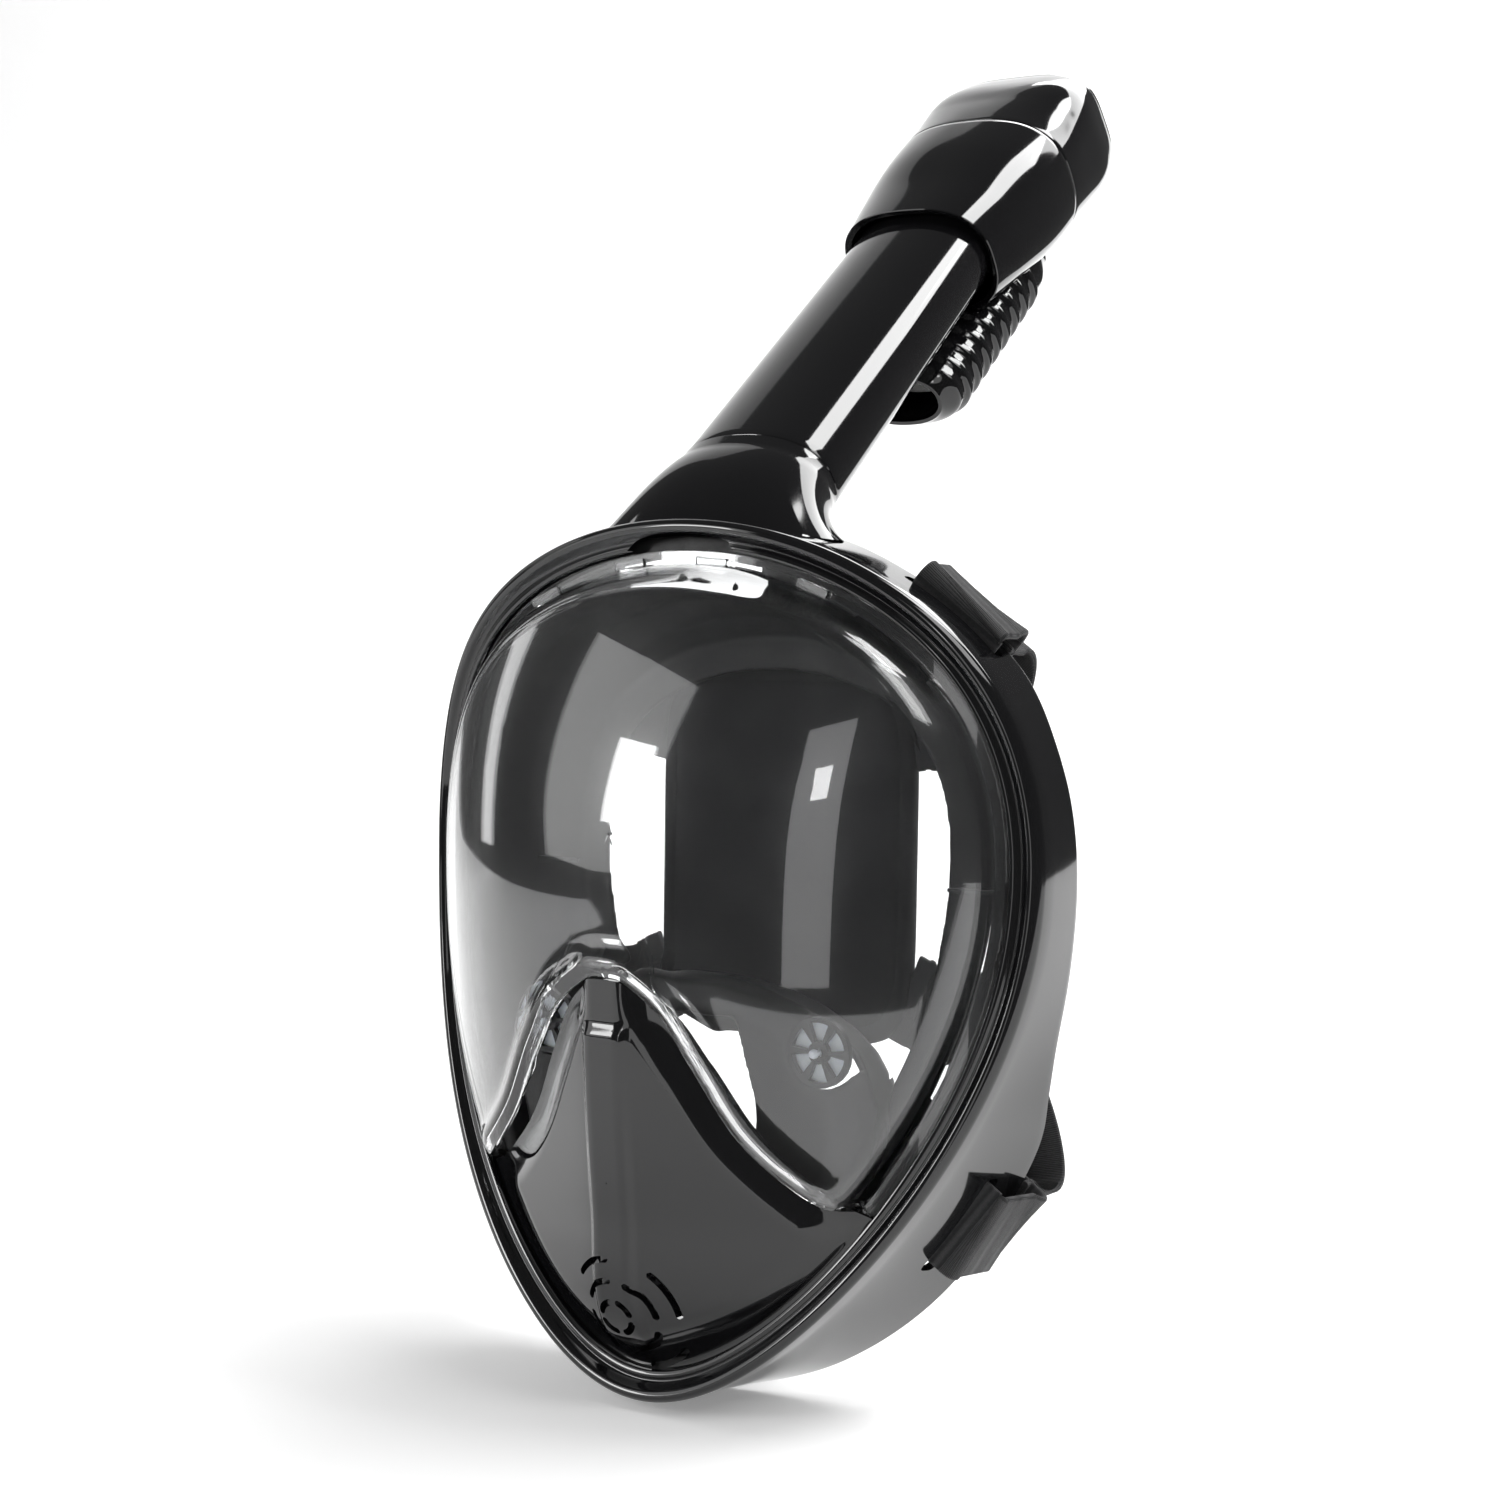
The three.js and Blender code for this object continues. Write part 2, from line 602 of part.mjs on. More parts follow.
function headLoops(levels, shrink, tilt = 0) {
  return levels.map((z) => {
    const [halfX, halfY, centreY] = headAt(z);
    return oval(halfX - shrink, halfY - shrink, z, centreY, 2.6, tilt);
  });
}

function shellSolid() {
  const outer = closedLoft(headLoops([HEAD.lip, 156, 165, 178, 190, HEAD.seam], 0), AROUND_TUBE);
  const inner = closedLoft(headLoops([HEAD.lip - 1, 156, 165, 178, 190, HEAD.seam + 1], HEAD.wall), AROUND_TUBE);
  return minus(outer, inner, closedLoft([oval(17, 12, 150, 34), oval(17, 12, 200, 34)], 24));
}
piece("head_front_shell", shellSolid(), gloss(), snorkel);

function capSolid() {
  const levels = [HEAD.seam + GAP, 225, 238, 247, 254, 259, HEAD.top];
  const outer = closedLoft(headLoops(levels, 0), AROUND_TUBE);
  const inner = closedLoft(headLoops([HEAD.seam - 1, 225, 238, 247, 252, 256], HEAD.wall), AROUND_TUBE);
  return outer.subtract(inner);
}
piece("head_top_cap", capSolid(), gloss(), snorkel);

// Intake duct on the back of the head: open below, and open at its top into the head.
const DUCT = { low: 106, high: 204, halfX: 21, halfY: 12.5, y: 31, wall: 1.8 };

function ductSolid() {
  const ribs = [];
  for (let i = 0; i < 7; i++) {
    const z = DUCT.low + 14 + i * 9;
    ribs.push(closedLoft([oval(22.4, 13.9, z, DUCT.y), oval(22.4, 13.9, z + 4, DUCT.y)], 24));
  }
  const body = closedLoft([
    oval(17, 9, DUCT.low, 28), oval(20, 11.5, DUCT.low + 8, 30),
    oval(DUCT.halfX, DUCT.halfY, DUCT.low + 20, DUCT.y), oval(DUCT.halfX, DUCT.halfY, 185, DUCT.y),
    oval(DUCT.halfX - 3, DUCT.halfY - 3, DUCT.high, 27),
  ], 24);
  const hollow = closedLoft([
    oval(15, 7.2, DUCT.low - 1, 28), oval(18.2, 9.7, DUCT.low + 9, 30),
    oval(DUCT.halfX - DUCT.wall, DUCT.halfY - DUCT.wall, DUCT.low + 20, DUCT.y),
    oval(DUCT.halfX - DUCT.wall, DUCT.halfY - DUCT.wall, 185, DUCT.y), oval(15, 8, DUCT.high - 3, 26),
  ], 24);
  const tubeRing = (z) => oval(tubeHalf(z)[0] + 0.4, tubeHalf(z)[1] + 0.4, z);
  const tube = closedLoft([60, TUBE_END + 4].map(tubeRing), AROUND_TUBE);
  const head = closedLoft(headLoops([HEAD.lip - 0.4, 156, 165, 178, 190, HEAD.seam + 4], -0.3), AROUND_TUBE);
  const ribbed = ribs.reduce((sum, rib) => sum.add(rib), body);
  return minus(ribbed, hollow, tube, head);
}
piece("head_intake_duct", ductSolid(), gloss(), snorkel);

// ---- Dry-top valve inside the duct, exhale valves on the tube's top ----

const FLOAT = { low: 122, high: 150, halfX: 14, halfY: 6, y: 33, travel: 10, pad: 1.6 };
const floatBody = closedLoft([
  oval(FLOAT.halfX - 2, FLOAT.halfY - 2, FLOAT.low, FLOAT.y),
  oval(FLOAT.halfX, FLOAT.halfY, FLOAT.low + 3, FLOAT.y),
  oval(FLOAT.halfX, FLOAT.halfY, FLOAT.high, FLOAT.y),
], 20);
piece("float", floatBody, foam(), snorkel);
const padLevels = [FLOAT.high + GAP, FLOAT.high + GAP + FLOAT.pad];
piece("float_pad", closedLoft(padLevels.map((z) => oval(FLOAT.halfX, FLOAT.halfY, z, FLOAT.y)), 20), silicone(), snorkel);

const INTAKE_SEAT_Z = padLevels[1] + FLOAT.travel + GAP;
function intakeSeat() {
  const plate = closedLoft([0, 2].map((d) => oval(16.4, 8.2, INTAKE_SEAT_Z + d, FLOAT.y)), 32);
  return plate.subtract(closedLoft([-1, 3].map((d) => oval(10, 4, INTAKE_SEAT_Z + d, FLOAT.y)), 24));
}
piece("intake_valve_seat", intakeSeat(), satin(), snorkel);

const EXHALE = { x: 17, radius: 4.6, z: TUBE_END + GAP };
function exhalePlate() {
  const plate = closedLoft([0, 2].map((d) => oval(24.4, 15.6, EXHALE.z + d)), AROUND_TUBE);
  const tools = [closedLoft([-1, 3].map((d) => oval(9.4, 12.4, EXHALE.z + d)), 32)];
  for (const side of [-1, 1]) {
    const hole = new THREE.CylinderGeometry(EXHALE.radius - 1.2, EXHALE.radius - 1.2, 8, AROUND_DISC);
    hole.rotateX(Math.PI / 2);
    hole.translate(side * EXHALE.x, 0, EXHALE.z);
    tools.push(solidOf(hole));
  }
  return minus(plate, ...tools);
}
piece("exhale_valve_plate", exhalePlate(), satin(), snorkel);
for (const [side, name] of [[-1, "left"], [1, "right"]]) {
  const disc = new THREE.CylinderGeometry(EXHALE.radius, EXHALE.radius, 0.9, AROUND_DISC);
  disc.rotateX(Math.PI / 2);
  const exhale = piece(`exhale_flap_${name}`, disc, flap(), snorkel);
  exhale.position.set(side * EXHALE.x, 0, EXHALE.z + 2 + GAP + 0.45);
}

// ---- Head straps ----

// Flat band through a list of [centre, width direction] stations.
function bandThrough(stations, width, thick) {
  const loops = stations.map(([centre, across], i) => {
    const before = stations[Math.max(0, i - 1)][0];
    const after = stations[Math.min(stations.length - 1, i + 1)][0];
    const forward = new THREE.Vector3().subVectors(after, before).normalize();
    const side = across.clone().addScaledVector(forward, -across.dot(forward)).normalize();
    const up = new THREE.Vector3().crossVectors(forward, side);
    const corners = [[1, 1], [-1, 1], [-1, -1], [1, -1]];
    return (u) => {
      const [p, q] = corners[Math.round(u * 4) % 4];
      return centre.clone().addScaledVector(side, (p * width) / 2).addScaledVector(up, (q * thick) / 2);
    };
  });
  return closedLoft(loops, 4);
}

// Strap pad, drawn in close behind the face opening.
const PAD = { width: 94, height: 120, thick: 4, y: 68, z: -2 };

const padRoom = box([PAD.width + 2 * GAP, PAD.thick + 9, PAD.height + 2], [0, PAD.y, PAD.z]);

const largestBody = (solid) => solid.decompose().reduce((a, b) => (a.volume() > b.volume() ? a : b));

// Loop round the slot's bar, then the band back to the pad.
function strapSolid(spec, side) {
  const { slot, bar, width, thick, padZ } = spec;
  const frameOf = slotFrame(spec, side);
  const inner = -6.4;
  const outer = 2.6;
  const front = slot[1] - 0.6 - thick;
  const leaning = (corners) => corners.map(([x, y]) => new THREE.Vector2(x + spec.lean * (y - bar), y));
  const ring = new THREE.Shape(leaning([
    [inner - thick, front], [outer + thick, front], [outer + thick, bar + 4], [inner - thick, bar + 4],
  ]));
  const hole = new THREE.Path(leaning([
    [inner, front + thick], [inner, bar + 1.4], [outer, bar + 1.4], [outer, front + thick],
  ]));
  ring.holes.push(hole);
  const wrap = slotPrism(spec, side, ring, width);
  const at = (out, back) => frameOf.origin.clone()
    .addScaledVector(frameOf.out, out).addScaledVector(frameOf.rearward, back);
  const end = new THREE.Vector3(side * (PAD.width / 2 + 3), PAD.y, padZ);
  const from = at(-2, bar + 2.6);
  const behind = at(-2.5, Math.max(bar + 9, PAD.y - frameOf.origin.y - 12));
  const beside = new THREE.Vector3(side * (PAD.width / 2 + 15), PAD.y + 0.4, padZ + 0.12 * (from.z - padZ));
  const curve = new THREE.CatmullRomCurve3([from, behind, beside, end]);
  const padAcross = new THREE.Vector3(0, 0, 1);
  const stations = Array.from({ length: 13 }, (_, i) => {
    const across = frameOf.along.clone().multiplyScalar(Math.sign(frameOf.along.z));
    return [curve.getPoint(i / 12), across.lerp(padAcross, i / 12)];
  });
  return largestBody(wrap.add(bandThrough(stations, width - 1, thick)).subtract(padRoom));
}
for (const [side, name] of [[-1, "left"], [1, "right"]]) {
  for (const [level, spec] of Object.entries(STRAPS)) {
    piece(`strap_${level}_${name}`, strapSolid(spec, side), webbing());
  }
}
piece("strap_pad", box([PAD.width, PAD.thick, PAD.height], [0, PAD.y, PAD.z]), webbing());

export default root;
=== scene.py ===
"""Full face snorkel: fine surfaces, materials, floor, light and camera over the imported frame.

Shapes are laid out in the mask outline's own frame, in millimetres (x right, y back, z up), and put
into the row frame, in metres, by `row`.
"""
import math

import bmesh
import bpy
import numpy as np
from mathutils import Matrix, Vector


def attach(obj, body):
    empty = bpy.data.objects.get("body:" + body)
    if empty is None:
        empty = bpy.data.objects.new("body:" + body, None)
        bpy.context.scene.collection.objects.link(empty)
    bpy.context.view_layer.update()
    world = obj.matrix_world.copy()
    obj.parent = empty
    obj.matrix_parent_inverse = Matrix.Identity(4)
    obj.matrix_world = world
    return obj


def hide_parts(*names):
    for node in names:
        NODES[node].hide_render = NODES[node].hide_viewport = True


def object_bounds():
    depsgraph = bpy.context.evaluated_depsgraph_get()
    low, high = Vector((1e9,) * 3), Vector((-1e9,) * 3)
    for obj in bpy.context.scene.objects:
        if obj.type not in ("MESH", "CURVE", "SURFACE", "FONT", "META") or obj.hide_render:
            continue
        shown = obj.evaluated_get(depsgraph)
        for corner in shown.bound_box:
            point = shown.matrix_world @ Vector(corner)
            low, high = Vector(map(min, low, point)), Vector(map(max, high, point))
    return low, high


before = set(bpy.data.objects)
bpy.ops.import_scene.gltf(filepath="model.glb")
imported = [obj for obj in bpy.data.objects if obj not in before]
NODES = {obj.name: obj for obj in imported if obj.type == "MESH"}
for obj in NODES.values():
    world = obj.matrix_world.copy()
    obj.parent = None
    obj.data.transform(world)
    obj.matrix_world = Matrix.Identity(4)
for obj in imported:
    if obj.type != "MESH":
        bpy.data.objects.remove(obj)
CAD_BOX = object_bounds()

TAU = 2 * math.pi
FACE = np.array([0.0, 62.0, -25.0])   # centre of the face opening in the outline's frame

# ---- Outline of the mask, as in the CAD ----
HALF_WIDTH, RISE, DROP = 110.6, 102.4, 160.9
TOP_FULL, CHIN_FULL = (-0.161, 0.065), (0.179, 0.048)
SIDE_BEND, CROWN_BEND, CHIN_BEND = (16.0, 15.9), 6.3, -8.9
LENS_WALL, LENS_CENTRE_Z = 2.4, -10.0
EDGE_RISE, CENTRE_RISE = 12.0, 33.0
TUBE_FOOT, TUBE_LEAN = np.array([0.0, 35.1, 106.7]), math.radians(51.7)


def row(p):
    return (np.asarray(p, float) - FACE) / 1000.0


def outline_at(t):
    c, s = np.cos(t), np.sin(t)
    k = np.where(c > 0, TOP_FULL[0], CHIN_FULL[0])
    j = np.where(c > 0, TOP_FULL[1], CHIN_FULL[1])
    return HALF_WIDTH * s * (1 - k * c * c - j * c ** 4), np.where(c > 0, RISE, DROP) * c


def inset_outline(t, inset):
    x, z = outline_at(t)
    x1, z1 = outline_at(t + 1e-3)
    x0, z0 = outline_at(t - 1e-3)
    length = np.hypot(x1 - x0, z1 - z0)
    return x + inset * (z1 - z0) / length, z - inset * (x1 - x0) / length


def bend(x, z):
    w = np.abs(x) / HALF_WIDTH
    ends = np.where(z < 0, CHIN_BEND * (z / DROP) ** 2, CROWN_BEND * (z / RISE) ** 2)
    return SIDE_BEND[0] * w ** 2 + SIDE_BEND[1] * w ** 4 + ends


def smooth(a, b, v):
    k = np.clip((v - a) / (b - a), 0, 1)
    return k * k * (3 - 2 * k)


def table(points, at):
    """A smooth curve through [position, value] pairs."""
    p = np.array(points, float)
    x, y = p[:, 0], p[:, 1]
    slope = np.gradient(y, x)
    i = np.clip(np.searchsorted(x, at) - 1, 0, len(x) - 2)
    h = x[i + 1] - x[i]
    k = np.clip((at - x[i]) / h, 0, 1)
    return ((2 * k ** 3 - 3 * k ** 2 + 1) * y[i] + (k ** 3 - 2 * k ** 2 + k) * h * slope[i]
            + (3 * k ** 2 - 2 * k ** 3) * y[i + 1] + (k ** 3 - k ** 2) * h * slope[i + 1])


OUTLINE_T = np.linspace(0, TAU, 1441)[:-1]
OUTLINE = np.stack(outline_at(OUTLINE_T), 1)


def inset_of(x, z):
    """Distance from front-view points to the outline, in chunks to keep memory small."""
    pts = np.stack([np.ravel(x), np.ravel(z)], 1)
    out = np.empty(len(pts))
    for i in range(0, len(pts), 4000):
        d = pts[i:i + 4000, None, :] - OUTLINE[None]
        out[i:i + 4000] = np.sqrt((d ** 2).sum(2).min(1))
    return out.reshape(np.shape(x))


# ---- Mesh helpers ----

def add_object(name, verts, faces, angle=35):
    mesh = bpy.data.meshes.new(name)
    mesh.from_pydata([tuple(v) for v in verts], [], faces)
    mesh.validate()
    mesh.update()
    ob = bpy.data.objects.new(name, mesh)
    bpy.context.scene.collection.objects.link(ob)
    bm = bmesh.new()
    bm.from_mesh(mesh)
    bmesh.ops.recalc_face_normals(bm, faces=bm.faces)
    bm.to_mesh(mesh)
    bm.free()
    finish_shading(ob, angle)
    return ob


def finish_shading(ob, angle=35):
    ob.data.shade_smooth()
    ob.data.set_sharp_from_angle(angle=math.radians(angle))


def loops_mesh(name, loops, closed=False, caps=True, angle=35):
    """Surface through equal closed loops: (rows, around, 3) millimetres in the outline's frame."""
    loops = np.asarray(loops, float)
    rows, around = loops.shape[:2]
    verts = loops.reshape(-1, 3)
    faces = []
    for r in range(rows if closed else rows - 1):
        a, b = r * around, ((r + 1) % rows) * around
        for i in range(around):
            j = (i + 1) % around
            faces.append((a + i, a + j, b + j, b + i))
    if not closed and caps:
        verts = np.vstack([verts, loops[0].mean(0), loops[-1].mean(0)])
        n = rows * around
        for i in range(around):
            j = (i + 1) % around
            faces.append((n, j, i))
            faces.append((n + 1, (rows - 1) * around + i, (rows - 1) * around + j))
    return add_object(name, row(verts), faces, angle)


def boolean(ob, tools, operation="DIFFERENCE", angle=35):
    for tool in tools:
        mod = ob.modifiers.new("cut", "BOOLEAN")
        mod.operation, mod.solver, mod.object = operation, "EXACT", tool
        evaluated = ob.evaluated_get(bpy.context.evaluated_depsgraph_get())
        mesh = bpy.data.meshes.new_from_object(evaluated)
        ob.modifiers.clear()
        ob.data = mesh
    for tool in tools:
        bpy.data.objects.remove(tool)
    finish_shading(ob, angle)
    return ob


def ring_loops(profile_of_t, around=720):
    """Closed ring along the outline from a profile: a function of t giving (inset, depth) rows."""
    t = np.arange(around) * TAU / around
    profile = profile_of_t(t)
    loops = []
    for inset, depth in profile:
        x, z = inset_outline(t, inset)
        x0, z0 = inset_outline(t, np.minimum(inset, 12))
        loops.append(np.stack([x, bend(x0, z0) + depth, z], 1))
    return np.array(loops)


def round_profile(points, radius, steps=5):
    """Closed section with its corners rounded: a list of [a, b] pairs, one radius for all or one each."""
    p = [np.array(q, float) for q in points]
    out = []
    for i, corner in enumerate(p):
        before, after = p[i - 1], p[(i + 1) % len(p)]
        r = radius[i] if isinstance(radius, (list, tuple)) else radius
        u, v = before - corner, after - corner
        lu, lv = np.linalg.norm(u), np.linalg.norm(v)
        r = min(r, lu * 0.48, lv * 0.48)
        a, b = corner + u / lu * r, corner + v / lv * r
        for s in range(steps + 1):
            k = s / steps
            out.append((1 - k) ** 2 * a + 2 * k * (1 - k) * corner + k * k * b)
    return np.array(out)


def to_mask(p):
    """Snorkel frame (z up the tube, -y its front) to the outline's frame."""
    c, s = math.cos(-TUBE_LEAN), math.sin(-TUBE_LEAN)
    p = np.asarray(p, float)
    x, y, z = p[..., 0], p[..., 1], p[..., 2]
    return np.stack([x, c * y - s * z, s * y + c * z], -1) + TUBE_FOOT


def oval(half_x, half_y, z, centre_y=0.0, power=2.3, around=96):
    a = np.arange(around) * TAU / around
    c, s = np.cos(a), np.sin(a)
    x = half_x * np.sign(c) * np.abs(c) ** (2 / power)
    y = half_y * np.sign(s) * np.abs(s) ** (2 / power)
    return np.stack([x, centre_y + y, np.full(around, float(z))], 1)


# ---- Materials ----

def node_material(name):
    mat = bpy.data.materials.new(name)
    mat.use_nodes = True
    return mat, mat.node_tree.nodes, mat.node_tree.links, mat.node_tree.nodes["Principled BSDF"]


def noise(nodes, links, scale, detail):
    tex = nodes.new("ShaderNodeTexNoise")
    tex.inputs["Scale"].default_value = scale
    tex.inputs["Detail"].default_value = detail
    links.new(nodes.new("ShaderNodeTexCoord").outputs["Object"], tex.inputs["Vector"])
    return tex


def ramp(nodes, links, source, low, high):
    """Noise values, mostly 0.3 to 0.7, spread over low to high."""
    node = nodes.new("ShaderNodeMapRange")
    node.inputs["From Min"].default_value = 0.3
    node.inputs["From Max"].default_value = 0.7
    node.inputs["To Min"].default_value = low
    node.inputs["To Max"].default_value = high
    links.new(source, node.inputs["Value"])
    return node.outputs["Result"]


def mix_colour(nodes, links, factor, low, high):
    node = nodes.new("ShaderNodeMix")
    node.data_type = "RGBA"
    links.new(factor, node.inputs[0])
    node.inputs[6].default_value = (*low, 1)
    node.inputs[7].default_value = (*high, 1)
    return node.outputs[2]


def bump(nodes, links, bsdf, height, strength, distance):
    node = nodes.new("ShaderNodeBump")
    node.inputs["Strength"].default_value = strength
    node.inputs["Distance"].default_value = distance
    links.new(height, node.inputs["Height"])
    links.new(node.outputs["Normal"], bsdf.inputs["Normal"])


def moulded(name, low, high, rough, grain=0.0, coat=0.0, cloud=14.0, wave=0.05):
    """Moulded plastic or rubber: cloudy colour, smudged roughness, fine grain and slow mould waviness."""
    mat, nodes, links, bsdf = node_material(name)
    smudge = noise(nodes, links, cloud, 4)
    links.new(mix_colour(nodes, links, smudge.outputs["Fac"], low, high), bsdf.inputs["Base Color"])
    fine = noise(nodes, links, 900, 2)
    both = nodes.new("ShaderNodeMath")
    both.operation = "MULTIPLY"
    links.new(ramp(nodes, links, smudge.outputs["Fac"], 0.8, 1.2), both.inputs[0])
    links.new(ramp(nodes, links, fine.outputs["Fac"], rough * 0.88, rough * 1.12), both.inputs[1])
    links.new(both.outputs[0], bsdf.inputs["Roughness"])
    bsdf.inputs["Specular IOR Level"].default_value = 0.42
    bsdf.inputs["Coat Weight"].default_value = coat
    bsdf.inputs["Coat Roughness"].default_value = 0.04
    slow = noise(nodes, links, 22, 1)
    add = nodes.new("ShaderNodeMath")
    add.operation = "MULTIPLY_ADD"
    links.new(fine.outputs["Fac"], add.inputs[0])
    add.inputs[1].default_value = grain
    links.new(slow.outputs["Fac"], add.inputs[2])
    bump(nodes, links, bsdf, add.outputs[0], wave, 0.0006)
    return mat


def clear_plastic(name):
    mat, nodes, links, bsdf = node_material(name)
    haze = noise(nodes, links, 30, 3)
    links.new(ramp(nodes, links, haze.outputs["Fac"], 0.005, 0.03), bsdf.inputs["Roughness"])
    links.new(mix_colour(nodes, links, haze.outputs["Fac"], (0.95, 0.965, 0.975), (0.99, 0.99, 0.99)),
              bsdf.inputs["Base Color"])
    bsdf.inputs["Transmission Weight"].default_value = 1.0
    bsdf.inputs["IOR"].default_value = 1.5
    bsdf.inputs["Specular IOR Level"].default_value = 0.32
    bsdf.inputs["Coat Weight"].default_value = 0.35
    bsdf.inputs["Coat Roughness"].default_value = 0.2
    slow = noise(nodes, links, 9, 1)
    bump(nodes, links, bsdf, slow.outputs["Fac"], 0.03, 0.001)
    return mat


def milky(name):
    mat, nodes, links, bsdf = node_material(name)
    cloud = noise(nodes, links, 90, 4)
    links.new(mix_colour(nodes, links, cloud.outputs["Fac"], (0.72, 0.78, 0.84), (0.86, 0.9, 0.95)),
              bsdf.inputs["Base Color"])
    links.new(ramp(nodes, links, cloud.outputs["Fac"], 0.3, 0.45), bsdf.inputs["Roughness"])
    bsdf.inputs["Subsurface Weight"].default_value = 0.3
    bsdf.inputs["Subsurface Radius"].default_value = (0.004, 0.004, 0.005)
    fine = noise(nodes, links, 700, 2)
    bump(nodes, links, bsdf, fine.outputs["Fac"], 0.1, 0.0002)
    return mat


def woven(name):
    """Black elastic webbing: crossed ribs, thread colour variation and a dull sheen."""
    mat, nodes, links, bsdf = node_material(name)
    coord = nodes.new("ShaderNodeTexCoord").outputs["UV"]
    height = None
    for axis, scale in (("X", 26.0), ("Y", 44.0)):
        wave = nodes.new("ShaderNodeTexWave")
        wave.bands_direction = axis
        wave.inputs["Scale"].default_value = scale
        wave.inputs["Distortion"].default_value = 0.25
        links.new(coord, wave.inputs["Vector"])
        if height is None:
            height = wave.outputs["Fac"]
        else:
            both = nodes.new("ShaderNodeMath")
            both.operation = "MULTIPLY"
            links.new(height, both.inputs[0])
            links.new(wave.outputs["Fac"], both.inputs[1])
            height = both.outputs[0]
    thread = mix_colour(nodes, links, height, (0.006, 0.006, 0.007), (0.03, 0.03, 0.033))
    links.new(thread, bsdf.inputs["Base Color"])
    fuzz = noise(nodes, links, 1200, 3)
    links.new(ramp(nodes, links, fuzz.outputs["Fac"], 0.75, 0.95), bsdf.inputs["Roughness"])
    bsdf.inputs["Sheen Weight"].default_value = 0.25
    bsdf.inputs["Sheen Roughness"].default_value = 0.5
    bump(nodes, links, bsdf, height, 0.8, 0.0005)
    return mat


GLOSS = moulded("gloss black shell", (0.004, 0.004, 0.0045), (0.007, 0.007, 0.0078), 0.07,
                grain=0.02, coat=0.4)
SATIN = moulded("satin black plastic", (0.012, 0.012, 0.013), (0.02, 0.02, 0.022), 0.38, grain=0.3)
SILICONE = moulded("black silicone", (0.006, 0.006, 0.0065), (0.012, 0.012, 0.0125), 0.5, grain=0.5, cloud=25)
CLEAR = clear_plastic("clear lens plastic")
MILKY = milky("milky silicone")
WEBBING = woven("black webbing")
FABRIC = moulded("black neoprene", (0.006, 0.006, 0.007), (0.016, 0.016, 0.017), 0.85,
                 grain=0.5, cloud=60, wave=0.12)
FLOAT = moulded("float foam", (0.72, 0.72, 0.7), (0.85, 0.85, 0.83), 0.6, grain=1.0)


def dress(ob, material, body, nodes=()):
    ob.data.materials.clear()
    ob.data.materials.append(material)
    if nodes:
        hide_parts(*nodes)
    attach(ob, body)
    return ob


# ---- Frame: bead, side wall, neck ----

WALL_DEPTH = [[0, 30], [0.35, 26], [0.5, 21], [1, 20], [1.2, 16], [1.33, 15.5], [1.62, 20], [1.78, 24],
              [1.93, 28], [2, 32], [2.08, 39], [2.2, 42], [2.45, 44], [2.65, 42], [2.85, 36], [math.pi, 28]]
WALL_FLARE = [[0, 0], [1.3, 0.5], [1.9, 1.5], [2.05, 5], [2.2, 8], [2.45, 11], [2.7, 9], [2.9, 5],
              [math.pi, 2]]
STRAPS = {
    "upper": dict(t=0.74, slot=(10.4, 15.4), bar=24.0, width=33.0, dip=0.4, lean=0.0),
    "lower": dict(t=2.27, slot=(25.0, 31.0), bar=47.0, width=31.0, dip=9.3, lean=0.15),
}


def wall_profile(t):
    half = np.where(t > math.pi, TAU - t, t)
    depth, flare = table(WALL_DEPTH, half), table(WALL_FLARE, half)
    bead = [(9, -0.4), (9, -2.5), (7.6, -3.1), (6.2, -2.2), (5.2, -3.2), (3.6, -5.5), (1.8, -6),
            (0.2, -4.6), (0, -1)]
    bead = round_profile(bead, [0.3, 0.4, 0.6, 0.5, 0.5, 1.3, 1.6, 1.6, 1.2], 4)[:-5]
    rows = [(np.full_like(t, a), np.full_like(t, b)) for a, b in bead]
    for k in np.linspace(0.05, 0.96, 14):
        rows.append((-flare * k ** 1.3, depth * k))
    for a, b in ((0.15, 0.99), (0.7, 1.0), (1.7, 1.0), (2.3, 0.985)):
        rows.append((a - flare, depth * b))
    for k in np.linspace(0.95, 0.05, 10):
        rows.append((2.4 - flare * k ** 1.3, depth * k))
    rows.append((np.full_like(t, 2.6), np.full_like(t, -0.2)))
    rows.append((np.full_like(t, 5.0), np.full_like(t, -0.4)))
    return rows


def neck_loops(half_x, half_y, spread, rows=26, around=120):
    out = []
    for i in range(rows):
        k = i / (rows - 1)
        ease = (1 - k) ** 1.6
        ring = oval(half_x + spread * ease, half_y, 14 * k, around=around)
        ring[:, 2] *= k
        lean = -TUBE_LEAN * min(1, k * 1.25)
        c, s = math.cos(lean), math.sin(lean)
        y, z = ring[:, 1].copy(), ring[:, 2].copy()
        ring[:, 1], ring[:, 2] = c * y - s * z, s * y + c * z
        crown = np.stack([0 * y, 24 + 0 * y, RISE - 2 - 0.0022 * ring[:, 0] ** 2], 1)
        m = min(1, k * 1.3)
        out.append(ring + crown * (1 - m) + TUBE_FOOT * m)
    return np.array(out)


def slot_frame(spec, side):
    x, z = inset_outline(spec["t"], 0)
    x1, z1 = inset_outline(spec["t"], 10)
    out = np.array([side * (x - x1), 0, z - z1]) / 10
    xa, za = inset_outline(spec["t"] - 0.01, 0)
    xb, zb = inset_outline(spec["t"] + 0.01, 0)
    along = np.array([side * (xb - xa), bend(xb, zb) - bend(xa, za), zb - za]) / np.hypot(xb - xa, zb - za)
    origin = np.array([side * x, bend(x, z), z]) + out * spec["dip"]
    return origin, out, np.array([0, 1.0, 0]), along


